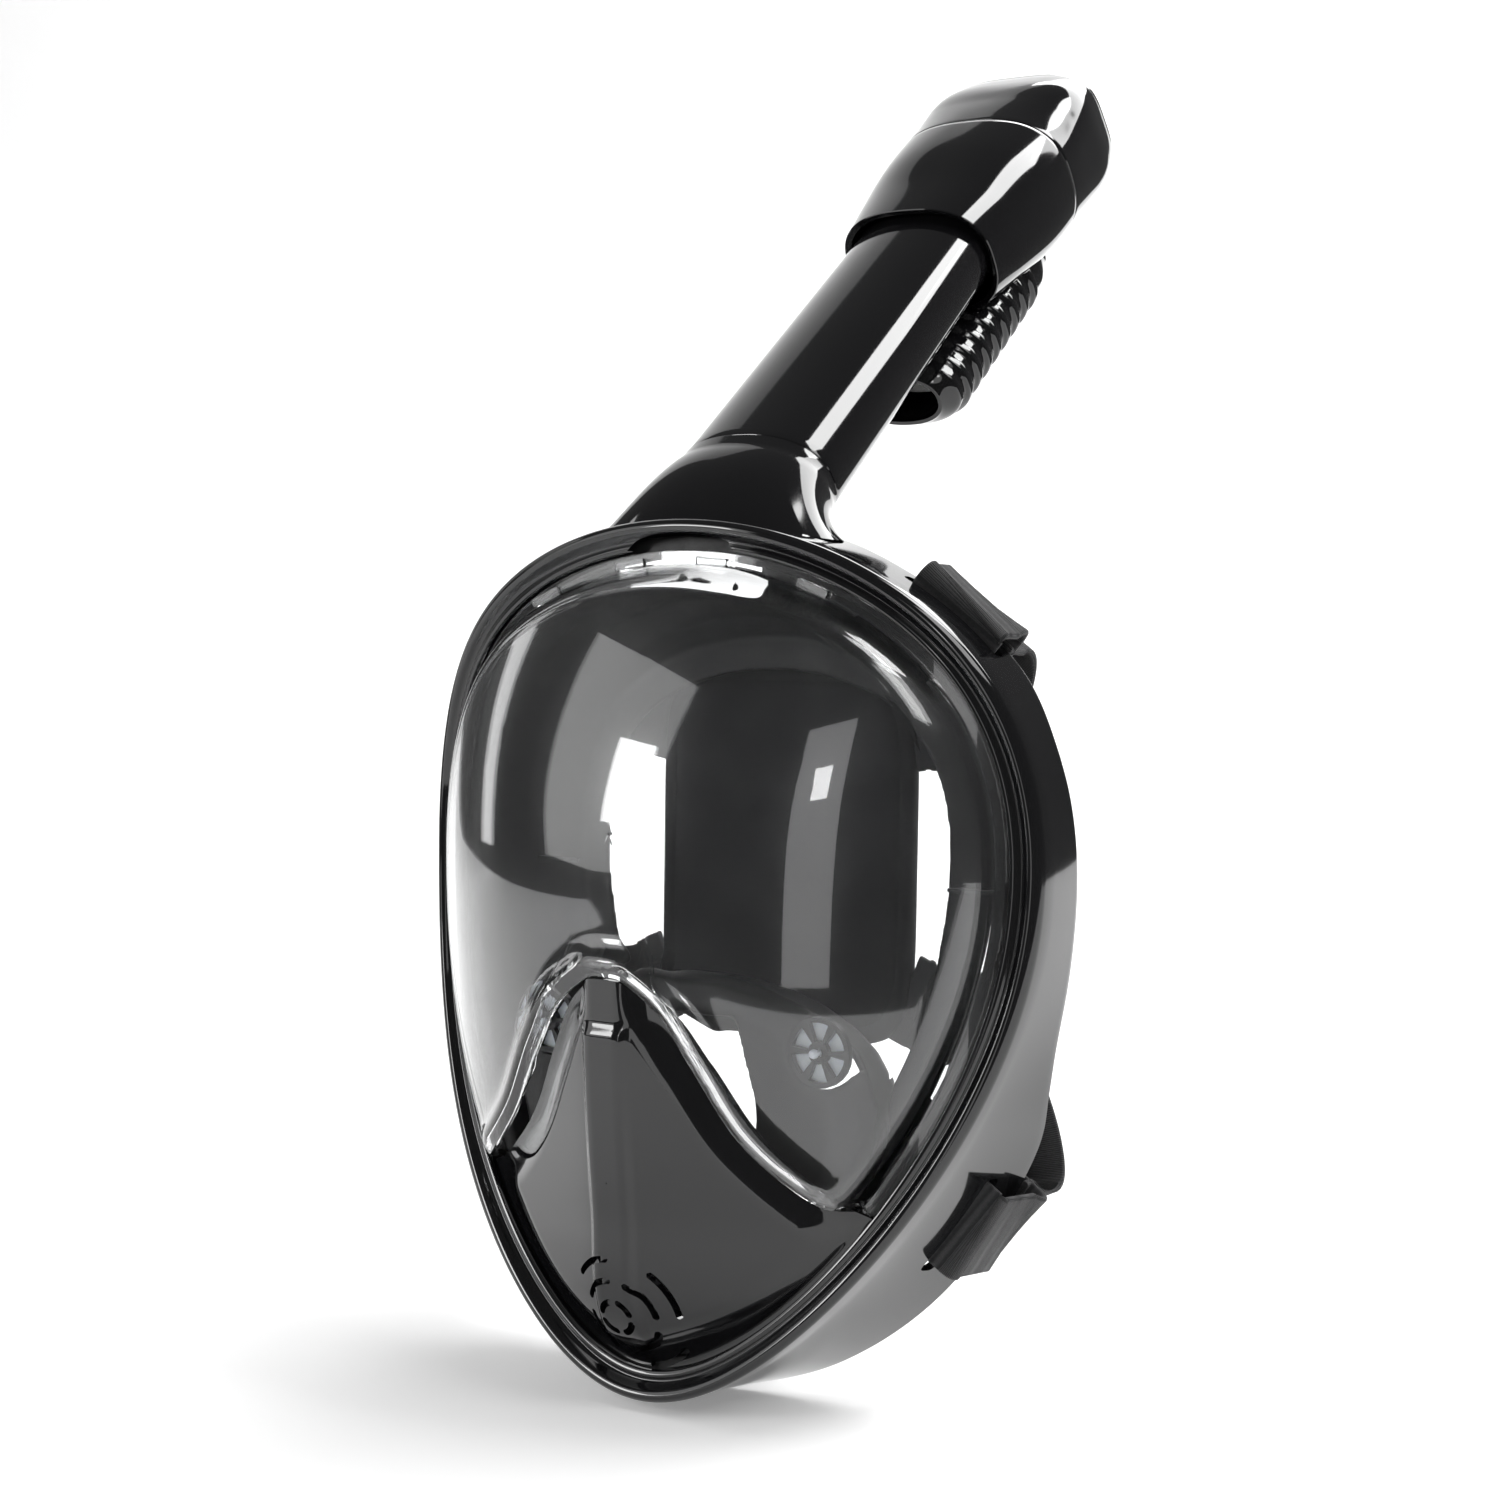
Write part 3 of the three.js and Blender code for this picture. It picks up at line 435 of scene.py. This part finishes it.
def slot_cutter(spec, side, width):
    origin, out, back, along = slot_frame(spec, side)
    a, b = spec["slot"]
    loops = []
    for o in (-16, 14):
        ring = []
        for w, d in round_profile([(-width / 2, a), (width / 2, a), (width / 2, b), (-width / 2, b)], 2.2, 6):
            ring.append(origin + out * o + back * d + along * w)
        loops.append(ring)
    return loops_mesh("slot_cut", np.array(loops))


def make_frame():
    ob = loops_mesh("frame_shell", ring_loops(wall_profile), closed=True, angle=40)
    neck = loops_mesh("neck", neck_loops(27.6, 18, 15))
    boolean(ob, [neck], "UNION")
    bore = loops_mesh("bore", [to_mask(oval(23.2, 14, z)) for z in (-34, 20)])
    mouth = loops_mesh("mouth", [to_mask(oval(60, 60, z)) for z in (14.0, 60)])
    cutters = [slot_cutter(spec, side, spec["width"] + 2) for side in (-1, 1) for spec in STRAPS.values()]
    corners = round_profile([(-7.5, -0.5), (7.5, -0.5), (7.5, 7.5), (-7.5, 7.5)], 0.8, 4)
    window = loops_mesh("window", [to_mask([[x, y, z] for x, z in corners]) for y in (13.0, 23.0)])
    boolean(ob, [bore, mouth, window, *cutters], "DIFFERENCE", 40)
    return dress(ob, GLOSS, "mask", ["frame"])


# ---- Lens and nose cover ----

COVER_EDGE = np.array([[0, -31.5], [5.5, -32], [9, -34], [17, -40], [27, -55], [41, -78],
                       [50.7, -88], [60, -95.5], [72, -101], [104, -112]], float)
GRILLE_Z = -133.0
RIDGE_LINE = [[-160, -8], [-150, -12], [-134, -22.5], [-100, -28], [-48, -33.5], [-30, -34.5], [-10, -35]]


def cover_edge_line():
    """The cover's upper edge as a fine smooth polyline over the right half, from the middle out."""
    s = np.concatenate([[0], np.cumsum(np.hypot(*np.diff(COVER_EDGE, axis=0).T))])
    u = np.linspace(0, s[-1], 400)
    x = table(np.stack([s, COVER_EDGE[:, 0]], 1), u)
    z = table(np.stack([s, COVER_EDGE[:, 1]], 1), u)
    return np.stack([x, z], 1)


EDGE_LINE = cover_edge_line()
EDGE_BOTH = np.vstack([EDGE_LINE[::-1] * [-1, 1], EDGE_LINE[1:]])


def edge_distance(x, z):
    """Signed distance above the cover's upper edge."""
    pts = np.stack([np.abs(np.ravel(x)), np.ravel(z)], 1)
    out = np.empty(len(pts))
    for i in range(0, len(pts), 4000):
        d = pts[i:i + 4000, None, :] - EDGE_LINE[None]
        out[i:i + 4000] = np.sqrt((d ** 2).sum(2).min(1))
    above = pts[:, 1] > np.interp(pts[:, 0], EDGE_LINE[:, 0], EDGE_LINE[:, 1])
    return np.where(above, out, -out).reshape(np.shape(x))


PANEL_T = np.linspace(0, TAU, 721)
PANEL = np.stack(inset_outline(PANEL_T, 21.0), 1) - [0, LENS_CENTRE_Z]
PANEL_ANGLE = np.unwrap(np.arctan2(PANEL[:, 0], PANEL[:, 1]))
PANEL_R = np.hypot(*PANEL.T)


def lens_face(x, z):
    """Outer face of the lens over the front view."""
    inset = inset_of(x, z)
    angle = np.arctan2(x, z - LENS_CENTRE_Z) % TAU
    reach = np.interp(angle, PANEL_ANGLE, PANEL_R)
    out = np.clip(1 - np.hypot(x, z - LENS_CENTRE_Z) / reach, 0, 1)
    dome = (CENTRE_RISE - EDGE_RISE) * (1 - (1 - out) ** 2)
    s = np.clip((inset - 13.6) / (22.5 - 13.6), 0, 1)
    wall = EDGE_RISE * (1 - (1 - s) ** 2.7)
    near = edge_distance(x, z)
    shoulder = 3.6 * np.exp(-((near - 4.5) / 4.2) ** 2) * smooth(12, 26, inset)
    return bend(x, z) - wall - dome - shoulder


def cover_face(x, z):
    inset = inset_of(x, z)
    near = -edge_distance(x, z)
    ridge = table(RIDGE_LINE, z)
    lateral = np.abs(x)
    roof = ridge + 0.48 * (np.sqrt(np.maximum(lateral - 3.5, 0) ** 2 + 9) - 3)
    band = 1.6 * smooth(8.6, 5.6, lateral) * smooth(-44, -49, z)
    rim = 3.2 * smooth(13, 2, near) * smooth(5, 12, lateral)
    floor = bend(x, z) + 0.6
    ease = np.sin(np.clip((inset - 10.5) / 12, 0, 1) * math.pi / 2)
    return floor + np.minimum(0, roof - band + rim - floor) * ease


def boundary_rays(centre, region, count):
    """Distance along each ray from a centre to a closed front-view polygon."""
    angles = np.arange(count) * TAU / count
    rel = region - centre
    nxt = np.roll(rel, -1, 0)
    d = nxt - rel
    out = np.empty(count)
    for i, a in enumerate(angles):
        u = np.array([math.sin(a), math.cos(a)])
        den = u[0] * d[:, 1] - u[1] * d[:, 0]
        den = np.where(np.abs(den) < 1e-9, 1e-9, den)
        k = (rel[:, 0] * d[:, 1] - rel[:, 1] * d[:, 0]) / den
        m = (rel[:, 0] * u[1] - rel[:, 1] * u[0]) / den
        ok = (k > 0) & (m >= -1e-6) & (m <= 1 + 1e-6)
        out[i] = k[ok].min()
    return np.stack([np.sin(angles), np.cos(angles)], 1), out


def panel_region(inset, lens, gap):
    """Front-view polygon of the lens (above the edge line) or of the cover (below it)."""
    ring = np.stack(inset_outline(np.linspace(0, TAU, 1441)[:-1], inset), 1)
    shift = gap if lens else -gap
    height = np.interp(np.abs(ring[:, 0]), EDGE_LINE[:, 0], EDGE_LINE[:, 1]) + shift
    keep = ring[:, 1] > height if lens else ring[:, 1] < height
    edge = EDGE_BOTH + [0, shift]
    inner = np.array([inset_of(p[0], p[1]) for p in edge])
    inside = (inner > inset) & (np.abs(edge[:, 0]) < 90)
    edge = edge[inside]
    if lens:
        t = np.linspace(0, TAU, 1441)[:-1]
        right = ring[keep & (t < math.pi)]
        left = ring[keep & (t >= math.pi)]
        return np.vstack([left, right, edge[::-1]])
    return np.vstack([edge, ring[keep]])


def shell_from_face(name, face, centre, region, rings, wall, count):
    """Closed shell: outer face, rim and inner face over a star-shaped front-view region."""
    direction, reach = boundary_rays(np.array(centre), region, count)
    outer = []
    for k in rings:
        xz = np.array(centre) + direction * (reach * k)[:, None]
        outer.append(np.stack([xz[:, 0], face(xz[:, 0], xz[:, 1]), xz[:, 1]], 1))
    outer = np.array(outer)
    gx = np.gradient(outer, axis=0)
    ga = (np.roll(outer, -1, 1) - np.roll(outer, 1, 1)) / 2
    normal = np.cross(gx, ga)
    length = np.linalg.norm(normal, axis=2, keepdims=True)
    normal = normal / np.maximum(length, 1e-9)
    normal *= np.sign(normal[..., 1:2])
    normal[0] = [0, 1, 0]
    inner = outer + normal * wall
    inner[-1, :, [0, 2]] = outer[-1, :, [0, 2]]
    loops = np.concatenate([outer, inner[::-1]])
    return loops_mesh(name, loops, caps=False)


def make_lens():
    region = panel_region(9.6, True, 0.3)
    rings = np.concatenate([[0.004], np.linspace(0.03, 0.6, 28), np.linspace(0.615, 1, 74)])
    ob = shell_from_face("lens_clear", lens_face, (0.0, 10.0), region, rings, LENS_WALL, 720)
    return dress(ob, CLEAR, "mask", ["lens"])


def arc_cutter(radius, a0, a1, half=1.0, steps=30):
    """Curved slot cutter with rounded ends at the chin, in the X-Z plane."""
    loops = []
    end = half / radius
    for a in np.linspace(a0 - end, a1 + end, steps):
        over = max(0.0, a0 - a, a - a1) / end
        w = half * math.sqrt(max(0.02, 1 - over * over))
        u = np.array([math.cos(a), math.sin(a)])
        corners = [(radius - w, -60), (radius + w, -60), (radius + w, 4), (radius - w, 4)]
        loops.append([[u[0] * r, y, GRILLE_Z + u[1] * r] for r, y in corners])
    return loops_mesh("arc_cut", np.array(loops))


def make_cover():
    region = panel_region(9.4, False, 0.4)
    rings = np.concatenate([[0.004], np.linspace(0.03, 1, 90)])
    ob = shell_from_face("nose_cover_shell", cover_face, (0.0, -92.0), region, rings, 2.2, 720)
    arcs = []
    for radius, spans in ((5.0, [(0.35, 1.25), (1.92, 2.82), (3.49, 4.39), (5.06, 5.96)]),
                          (11.5, [(0.1, 1.15), (1.67, 2.72), (3.24, 4.29), (4.81, 5.86)]),
                          (18.0, [(0.1, 0.9), (1.67, 2.47), (3.24, 4.04), (4.81, 5.61)])):
        arcs += [arc_cutter(radius, a, b) for a, b in spans]
    boolean(ob, arcs, "DIFFERENCE", 40)
    return dress(ob, GLOSS, "mask", ["nose_cover"])


make_frame()
make_lens()
make_cover()

# ---- Snorkel tube and head ----

TUBE_START, TUBE_END, TUBE_WALL = 14.6, 176.0, 2.2
SPIGOT, SEAL_CUT = (22.6, 13.4), 1.0


def tube_half(z):
    k = (z - TUBE_START) / (TUBE_END - TUBE_START)
    return 27.4 - 2.4 * k, 17.6 - 1.4 * k


def make_tube():
    a, b = SPIGOT
    c, d = a - SEAL_CUT, b - SEAL_CUT
    levels = [(-6, a, b), (-2.6, a, b), (-2.59, c, d), (0.59, c, d), (0.6, a, b), (14.55, a, b),
              (TUBE_START, 26.9, 17.1), (15.0, 27.3, 17.5)]
    for z in np.linspace(15.6, 175.4, 60):
        levels.append((z, *tube_half(z)))
    levels.append((TUBE_END, *(v - 0.5 for v in tube_half(TUBE_END))))
    inner = [(z, *(v - TUBE_WALL for v in tube_half(z))) for z in (TUBE_END, 18)]
    inner += [(13, 20, 10.8), (-6, 20, 10.8)]
    loops = [to_mask(oval(a, b, z, around=160)) for z, a, b in levels + inner]
    ob = loops_mesh("snorkel_tube_shell", loops, closed=True)
    dress(ob, GLOSS, "snorkel", ["snorkel_tube"])
    for x, name in ((-11, "left"), (11, "right")):
        loops = [to_mask([[x - 0.7, -s, z], [x + 0.7, -s, z], [x + 0.7, s, z], [x - 0.7, s, z]])
                 for z, s in ((-5.5, 9.2), (13, 9.2), (18, 13.5), (100, 12.8), (175.8, 12.2))]
        wall = loops_mesh("tube_channel_wall_" + name, loops)
        dress(wall, SATIN, "snorkel")


def head_at(z):
    half_x = table([[147, 28.5], [165, 31.5], [190, 34], [225, 33.6], [245, 31.6], [256, 28.6],
                    [262, 25.5]], z)
    half_y = table([[147, 21.4], [165, 23], [190, 26], [225, 26], [245, 24.6], [256, 21.5],
                    [262, 18.5]], z)
    centre = table([[147, 1], [190, 3.5], [262, 6]], z)
    return half_x, half_y, centre


def head_power(z):
    return 2.6 + 1.0 * float(smooth(210, 248, z))


def slant(loop):
    """The cap's top leans: lower at the front, higher at the rear."""
    loop[:, 2] += 0.15 * (loop[:, 1] - 8) * smooth(212, 252, loop[:, 2])
    return loop


def head_loops(levels, shrink):
    out = []
    for z in levels:
        a, b, c = head_at(z)
        out.append(to_mask(slant(oval(a - shrink, b - shrink, z, c, head_power(z), 160))))
    return out


def make_head():
    levels = np.linspace(148, 206.5, 40)
    outer = head_loops([147.4], 0.9) + head_loops([147.0], 0.3) + head_loops([147.3], 0.0)
    outer += head_loops(levels, 0) + head_loops([206.9], 0.25)
    inner = head_loops([206.9, 190, 170, 148], 2.2)
    ob = loops_mesh("head_shell", outer + inner, closed=True)
    dress(ob, GLOSS, "snorkel", ["head_front_shell"])
    levels = np.concatenate([np.linspace(208, 240, 26), np.linspace(241, 254.2, 20)])
    outer = head_loops([207.3], 0.35) + head_loops([207.6], 0.05) + head_loops(levels, 0)
    inner = head_loops([247, 242, 230, 207.3], 2.4)
    a, b, c = head_at(254.2)
    top = []
    for turn in np.linspace(0.12, 1, 14) * math.pi / 2:
        drop = 3.2 * (1 - math.cos(turn))
        top.append(to_mask(slant(oval(a - drop, b - drop, 254.2 + 3.2 * math.sin(turn), c, 3.6, 160))))
    for k in (0.85, 0.6, 0.35, 0.12, 0.01):
        crown = 257.4 + 0.5 * (1 - k * k)
        top.append(to_mask(slant(oval((a - 3.2) * k, (b - 3.2) * k, crown, c, 3.6, 160))))
    under = [to_mask(slant(oval((a - 6) * k, (b - 6) * k, 248, c, 3.6, 160))) for k in (0.01, 0.5, 0.95)]
    ob = loops_mesh("head_cap", outer + top + under + inner, closed=True)
    dress(ob, GLOSS, "snorkel", ["head_top_cap"])


def make_duct():
    """Ribbed intake duct on the head's underside, open below and into the head."""
    levels, sizes = [], []
    for z in np.linspace(106.6, 203.4, 180):
        rib = sum(smooth(2.9, 1.2, np.abs(z - 118 - 9 * i)) for i in range(8))
        close = 1.0 - 0.25 * smooth(112, 106, z) - 0.16 * smooth(190, 204, z)
        levels.append(z)
        sizes.append((21 * close + 1.5 * rib, 12.5 * close + 1.5 * rib))
    outer = [to_mask(oval(a, b, z, 31, 2.3, 128)) for z, (a, b) in zip(levels, sizes)]
    inside = ((203.4, 0.84), (190, 1), (114, 1), (106.6, 0.76))
    inner = [to_mask(oval(19.2 * k, 10.7 * k, z, 31, 2.3, 128)) for z, k in inside]
    ob = loops_mesh("intake_duct", outer + inner, closed=True)
    room = []
    for z in np.linspace(146, 204.5, 20):
        a, b, c = head_at(z)
        room.append(to_mask(oval(a + 0.4, b + 0.4, z, c, 2.6, 128)))
    tube = [to_mask(oval(*(v + 0.4 for v in tube_half(z)), z)) for z in (100, 177)]
    boolean(ob, [loops_mesh("room", room), loops_mesh("tube_room", tube)], "DIFFERENCE", 40)
    dress(ob, GLOSS, "snorkel", ["head_intake_duct"])


make_tube()
make_head()
make_duct()

# ---- Straps and pad ----

PAD_HALF, PAD_Y, PAD_Z = (47.0, 60.0), 68.0, -2.0
PAD_LEVEL = {"upper": 41.0, "lower": -45.0}


def curve_through(points, count):
    p = np.array(points, float)
    s = np.concatenate([[0], np.cumsum(np.linalg.norm(np.diff(p, axis=0), axis=1))])
    u = np.linspace(0, s[-1], count)
    return np.stack([table(np.stack([s, p[:, i]], 1), u) for i in range(3)], 1)


def section(width, thick):
    w, t = width / 2, thick / 2
    return round_profile([(-w, -t), (w, -t), (w, t), (-w, t)], 1.0, 4)


def swept_band(name, centres, across, width, thick, closed=False):
    if closed:
        forward = np.roll(centres, -1, 0) - np.roll(centres, 1, 0)
    else:
        forward = np.gradient(centres, axis=0)
    forward /= np.linalg.norm(forward, axis=1, keepdims=True)
    side = across - forward * (across * forward).sum(1, keepdims=True)
    side /= np.linalg.norm(side, axis=1, keepdims=True)
    up = np.cross(forward, side)
    corners = section(width, thick)
    loops = centres[:, None] + side[:, None] * corners[None, :, :1] + up[:, None] * corners[None, :, 1:]
    ob = loops_mesh(name, loops, closed=closed)
    uv = ob.data.uv_layers.new(name="UVMap")
    flat = np.empty(len(ob.data.loops), int)
    ob.data.loops.foreach_get("vertex_index", flat)
    index = np.minimum(flat, len(centres) * len(corners) - 1)
    step = np.linalg.norm(np.diff(centres, axis=0), axis=1).sum() / len(centres)
    coords = np.stack([index // len(corners) * step / 40, corners[index % len(corners), 0] / 40], 1)
    uv.data.foreach_set("uv", coords.ravel().astype(np.float32))
    return ob


def make_strap(level, side, label):
    spec = STRAPS[level]
    origin, out, back, along = slot_frame(spec, side)
    lean = spec["lean"]

    def at(o, d):
        return origin + out * (o + lean * (d - spec["bar"])) + back * d

    front, rear = spec["slot"][1] - 1.8, spec["bar"] + 2.7
    ring = round_profile([(-7.6, front), (3.8, front), (3.8, rear), (-7.6, rear)], 2.6, 10)
    centres = np.array([at(o, d) for o, d in ring])
    keep = np.linalg.norm(centres - np.roll(centres, 1, 0), axis=1) > 0.05
    centres = centres[keep]
    across = np.tile(along / np.linalg.norm(along), (len(centres), 1))
    wrap = swept_band("strap_loop_%s_%s" % (level, label), centres, across, spec["width"] - 1, 2.2, True)
    start = at(-2, spec["bar"] + 3.2)
    pad_z = PAD_LEVEL[level]
    points = [start, at(-2.4, max(spec["bar"] + 9, PAD_Y - origin[1] - 12)),
              [side * (PAD_HALF[0] + 15), PAD_Y + 0.6, pad_z + 0.12 * (start[2] - pad_z)],
              [side * (PAD_HALF[0] - 3.0), PAD_Y, pad_z]]
    path = curve_through(points, 60)
    k = np.linspace(0, 1, 60)[:, None]
    across = along * np.sign(along[2]) * (1 - k) + np.array([0, 0, 1.0]) * k
    band = swept_band("strap_band_%s_%s" % (level, label), path, across, spec["width"] - 2, 2.2)
    dress(wrap, WEBBING, "mask", ["strap_%s_%s" % (level, label)])
    dress(band, WEBBING, "mask")


def make_pad():
    half_x, half_z = PAD_HALF
    rows = [(0.6, 66.0), (0.15, 66.6), (0.0, 67.3), (0.0, 68.7), (0.15, 69.4), (0.6, 70.0)]
    fronts, backs = [], []
    for inset in (1.5, 3, 4, 5, 6, 8, 12, 20, 30, 42):
        stitch = 0.5 * math.exp(-((inset - 5) / 0.8) ** 2)
        puff = 2.1 + 0.5 * smooth(60, 20, inset) - stitch
        fronts.append((inset, PAD_Y - puff))
        backs.append((inset, PAD_Y + puff))
    loops = []
    for inset, y in fronts[::-1] + rows + backs:
        ring = oval(half_x - inset, half_z - inset, 0, 0, 6, 200)
        loops.append(np.stack([ring[:, 0], np.full(200, y), ring[:, 1] + PAD_Z], 1))
    ob = loops_mesh("strap_pad_foam", np.array(loops))
    dress(ob, FABRIC, "mask", ["strap_pad"])


for level in STRAPS:
    for side, label in ((-1, "left"), (1, "right")):
        make_strap(level, side, label)
make_pad()

# ---- Soft and small pieces ----


def softened(node, name, material, body, voxel, passes):
    """A smooth soft piece made over a CAD solid: fine remesh, then relaxed."""
    ob = bpy.data.objects.new(name, NODES[node].data.copy())
    ob.matrix_world = NODES[node].matrix_world
    bpy.context.scene.collection.objects.link(ob)
    mod = ob.modifiers.new("fine", "REMESH")
    mod.mode, mod.voxel_size = "VOXEL", voxel
    mod = ob.modifiers.new("relax", "SMOOTH")
    mod.factor, mod.iterations = 0.5, passes
    bpy.context.view_layer.update()
    mesh = bpy.data.meshes.new_from_object(ob.evaluated_get(bpy.context.evaluated_depsgraph_get()))
    ob.modifiers.clear()
    ob.data = mesh
    mesh.shade_smooth()
    return dress(ob, material, body, [node])


softened("face_skirt", "skirt_silicone", SILICONE, "mask", 0.0010, 10)
softened("breathing_pocket", "pocket_silicone", SILICONE, "mask", 0.0009, 8)
softened("socket_seal", "socket_seal_silicone", SILICONE, "snorkel", 0.0003, 2)
softened("lens_gasket", "gasket_silicone", SILICONE, "mask", 0.0005, 3)
softened("float_pad", "float_pad_silicone", SILICONE, "float", 0.0004, 3)
softened("float", "float_foam", FLOAT, "float", 0.0005, 6)
for label in ("left", "right"):
    softened("check_valve_flap_" + label, "check_flap_" + label, MILKY, "check_" + label,
             0.0003, 3)
    softened("exhale_flap_" + label, "exhale_valve_flap_" + label, MILKY, "exhale_" + label,
             0.0003, 2)
softened("drain_valve_flap", "drain_flap", SILICONE, "drain", 0.0003, 3)

FINISHES = {
    "clamp_ring": (SATIN, "satin_plastic"), "check_valve_seat_left": (SATIN, "satin_plastic"),
    "check_valve_seat_right": (SATIN, "satin_plastic"), "drain_valve_seat": (SATIN, "satin_plastic"),
    "latch_button": (SATIN, "satin_plastic"), "intake_valve_seat": (SATIN, "satin_plastic"),
    "exhale_valve_plate": (SATIN, "satin_plastic"),
}
for node, (material, slot) in FINISHES.items():
    ob = NODES[node]
    ob.data.materials.clear()
    ob.data.materials.append(material)
    edge = ob.modifiers.new("edge", "BEVEL")
    edge.width, edge.segments, edge.limit_method = 0.0003, 3, "ANGLE"


def small_block(name, centre, across, normal, size, material):
    """Rounded block: width across, height along the third direction, thickness along the normal."""
    centre, across, normal = (np.asarray(v, float) for v in (centre, across, normal))
    third = np.cross(normal, across)
    w, h = size[0] / 2, size[1] / 2
    outline = round_profile([(-w, -h), (w, -h), (w, h), (-w, h)], size[1] * 0.3, 5)
    loops = []
    for depth, shrink in ((-0.5, 0.4), (-0.42, 0.12), (-0.3, 0), (0.3, 0), (0.42, 0.12), (0.5, 0.4)):
        corners = outline * (1 - shrink / max(size[:2]))
        loops.append([centre + across * a + third * b + normal * depth * size[2] for a, b in corners])
    ob = loops_mesh(name, np.array(loops))
    return dress(ob, material, "mask")


def make_details():
    """Snap tabs of the lens along its top flange, and the two moulded marks on the skirt."""
    for i, t in enumerate((-0.5, -0.17, 0.1, 0.42)):
        x, z = inset_outline(t, 12.6)
        x1, z1 = inset_outline(t + 0.01, 12.6)
        across = np.array([x1 - x, 0, z1 - z]) / math.hypot(x1 - x, z1 - z)
        small_block("lens_snap_tab_%d" % (i + 1), [x, bend(x, z) - 1.2, z], across, [0, 1, 0],
                    (11, 2.6, 1.8), CLEAR)
    for side, label in ((-1, "left"), (1, "right")):
        small_block("skirt_mark_" + label, [side * 79, 49.5, -8], [1, 0, 0], [0, 1, 0],
                    (19, 1.2, 1.2), SATIN)


make_details()

# ---- Floor, light and camera ----

def make_floor():
    """Pale floor that curves up into a plain backdrop behind the mask."""
    low = CAD_BOX[0][2] - 0.0005
    profile = [(-0.5, 0.0), (1.6, 0.0)]
    profile += [(1.6 + math.sin(a), 1 - math.cos(a)) for a in np.linspace(0.05, math.pi / 2, 24)]
    profile.append((2.6, 4.0))
    away, across = np.array([-0.53, 0.848]), np.array([0.848, 0.53])
    verts, faces = [], []
    for along, up in profile:
        for side in (-1.5, 1.5):
            x, y = away * along + across * side
            verts.append((x, y, low + up))
    for i in range(len(profile) - 1):
        faces.append((2 * i, 2 * i + 1, 2 * i + 3, 2 * i + 2))
    mesh = bpy.data.meshes.new("floor")
    mesh.from_pydata(verts, [], faces)
    mesh.shade_smooth()
    ob = bpy.data.objects.new("floor", mesh)
    bpy.context.scene.collection.objects.link(ob)
    mat, nodes, links, bsdf = node_material("pale floor")
    cloud = noise(nodes, links, 2.0, 2)
    links.new(mix_colour(nodes, links, cloud.outputs["Fac"], (0.92, 0.92, 0.92), (0.94, 0.94, 0.94)),
              bsdf.inputs["Base Color"])
    bsdf.inputs["Roughness"].default_value = 0.9
    bsdf.inputs["Specular IOR Level"].default_value = 0.1
    bsdf.inputs["Emission Color"].default_value = (1, 1, 1, 1)
    bsdf.inputs["Emission Strength"].default_value = 0.22
    ob.data.materials.append(mat)


def area_light(name, at, look, size, power):
    light = bpy.data.lights.new(name, "AREA")
    light.shape, light.size, light.size_y = "RECTANGLE", size[0], size[1]
    light.energy = power
    ob = bpy.data.objects.new(name, light)
    ob.location = at
    ob.rotation_euler = (Vector(look) - Vector(at)).to_track_quat("-Z", "Y").to_euler()
    bpy.context.scene.collection.objects.link(ob)


CAMERA = dict(azimuth=32.0, elevation=2.863, roll=0.919, lens=58.8, eye=(407.43, -607.68, 70.12))


def make_camera():
    """Stands where the photograph was taken from; angles in degrees, eye in the outline's frame."""
    azimuth, elevation, roll = (math.radians(CAMERA[k]) for k in ("azimuth", "elevation", "roll"))
    stand = Matrix.Rotation(azimuth, 4, "Z") @ Matrix.Rotation(math.pi / 2 - elevation, 4, "X")
    data = bpy.data.cameras.new("camera")
    data.sensor_width = 36.0
    data.lens = CAMERA["lens"]
    data.clip_start = 0.01
    ob = bpy.data.objects.new("camera", data)
    ob.matrix_world = Matrix.Translation(Vector(row(CAMERA["eye"]))) @ stand @ Matrix.Rotation(roll, 4, "Z")
    bpy.context.scene.collection.objects.link(ob)
    bpy.context.scene.camera = ob


def make_world():
    world = bpy.data.worlds.new("studio")
    world.use_nodes = True
    world.node_tree.nodes["Background"].inputs[0].default_value = (1, 1, 1, 1)
    world.node_tree.nodes["Background"].inputs[1].default_value = 0.1
    bpy.context.scene.world = world


make_floor()
make_world()
LIGHTS = [
    # name, place, width and height, radiance
    ("high behind", (0.4, 2.3, 2.5), (3.2, 1.5), 6.5),
    ("high right", (1.9, -0.1, 1.9), (1.2, 1.2), 5.0),
    ("backdrop wash", (1.3, 0.9, 2.6), (1.4, 1.0), 12.0),
    ("left panel", (-1.05, -1.25, 0.55), (1.0, 1.2), 1.8),
    ("left core", (-0.72, -1.2, 0.42), (0.26, 0.4), 12.0),
    ("right panel", (0.78, -1.5, 0.2), (0.42, 1.3), 1.5),
    ("right core", (0.74, -1.4, 0.42), (0.14, 0.2), 8.0),
    ("side strip", (-1.5, -0.1, 0.5), (0.2, 1.2), 2.5),
]
for name, at, size, radiance in LIGHTS:
    aim = (-1.0, 1.6, 0.4) if name == "backdrop wash" else (0, 0, 0.03)
    area_light(name, at, aim, size, radiance * math.pi * size[0] * size[1])
make_camera()
bpy.context.scene.view_settings.view_transform = "Standard"
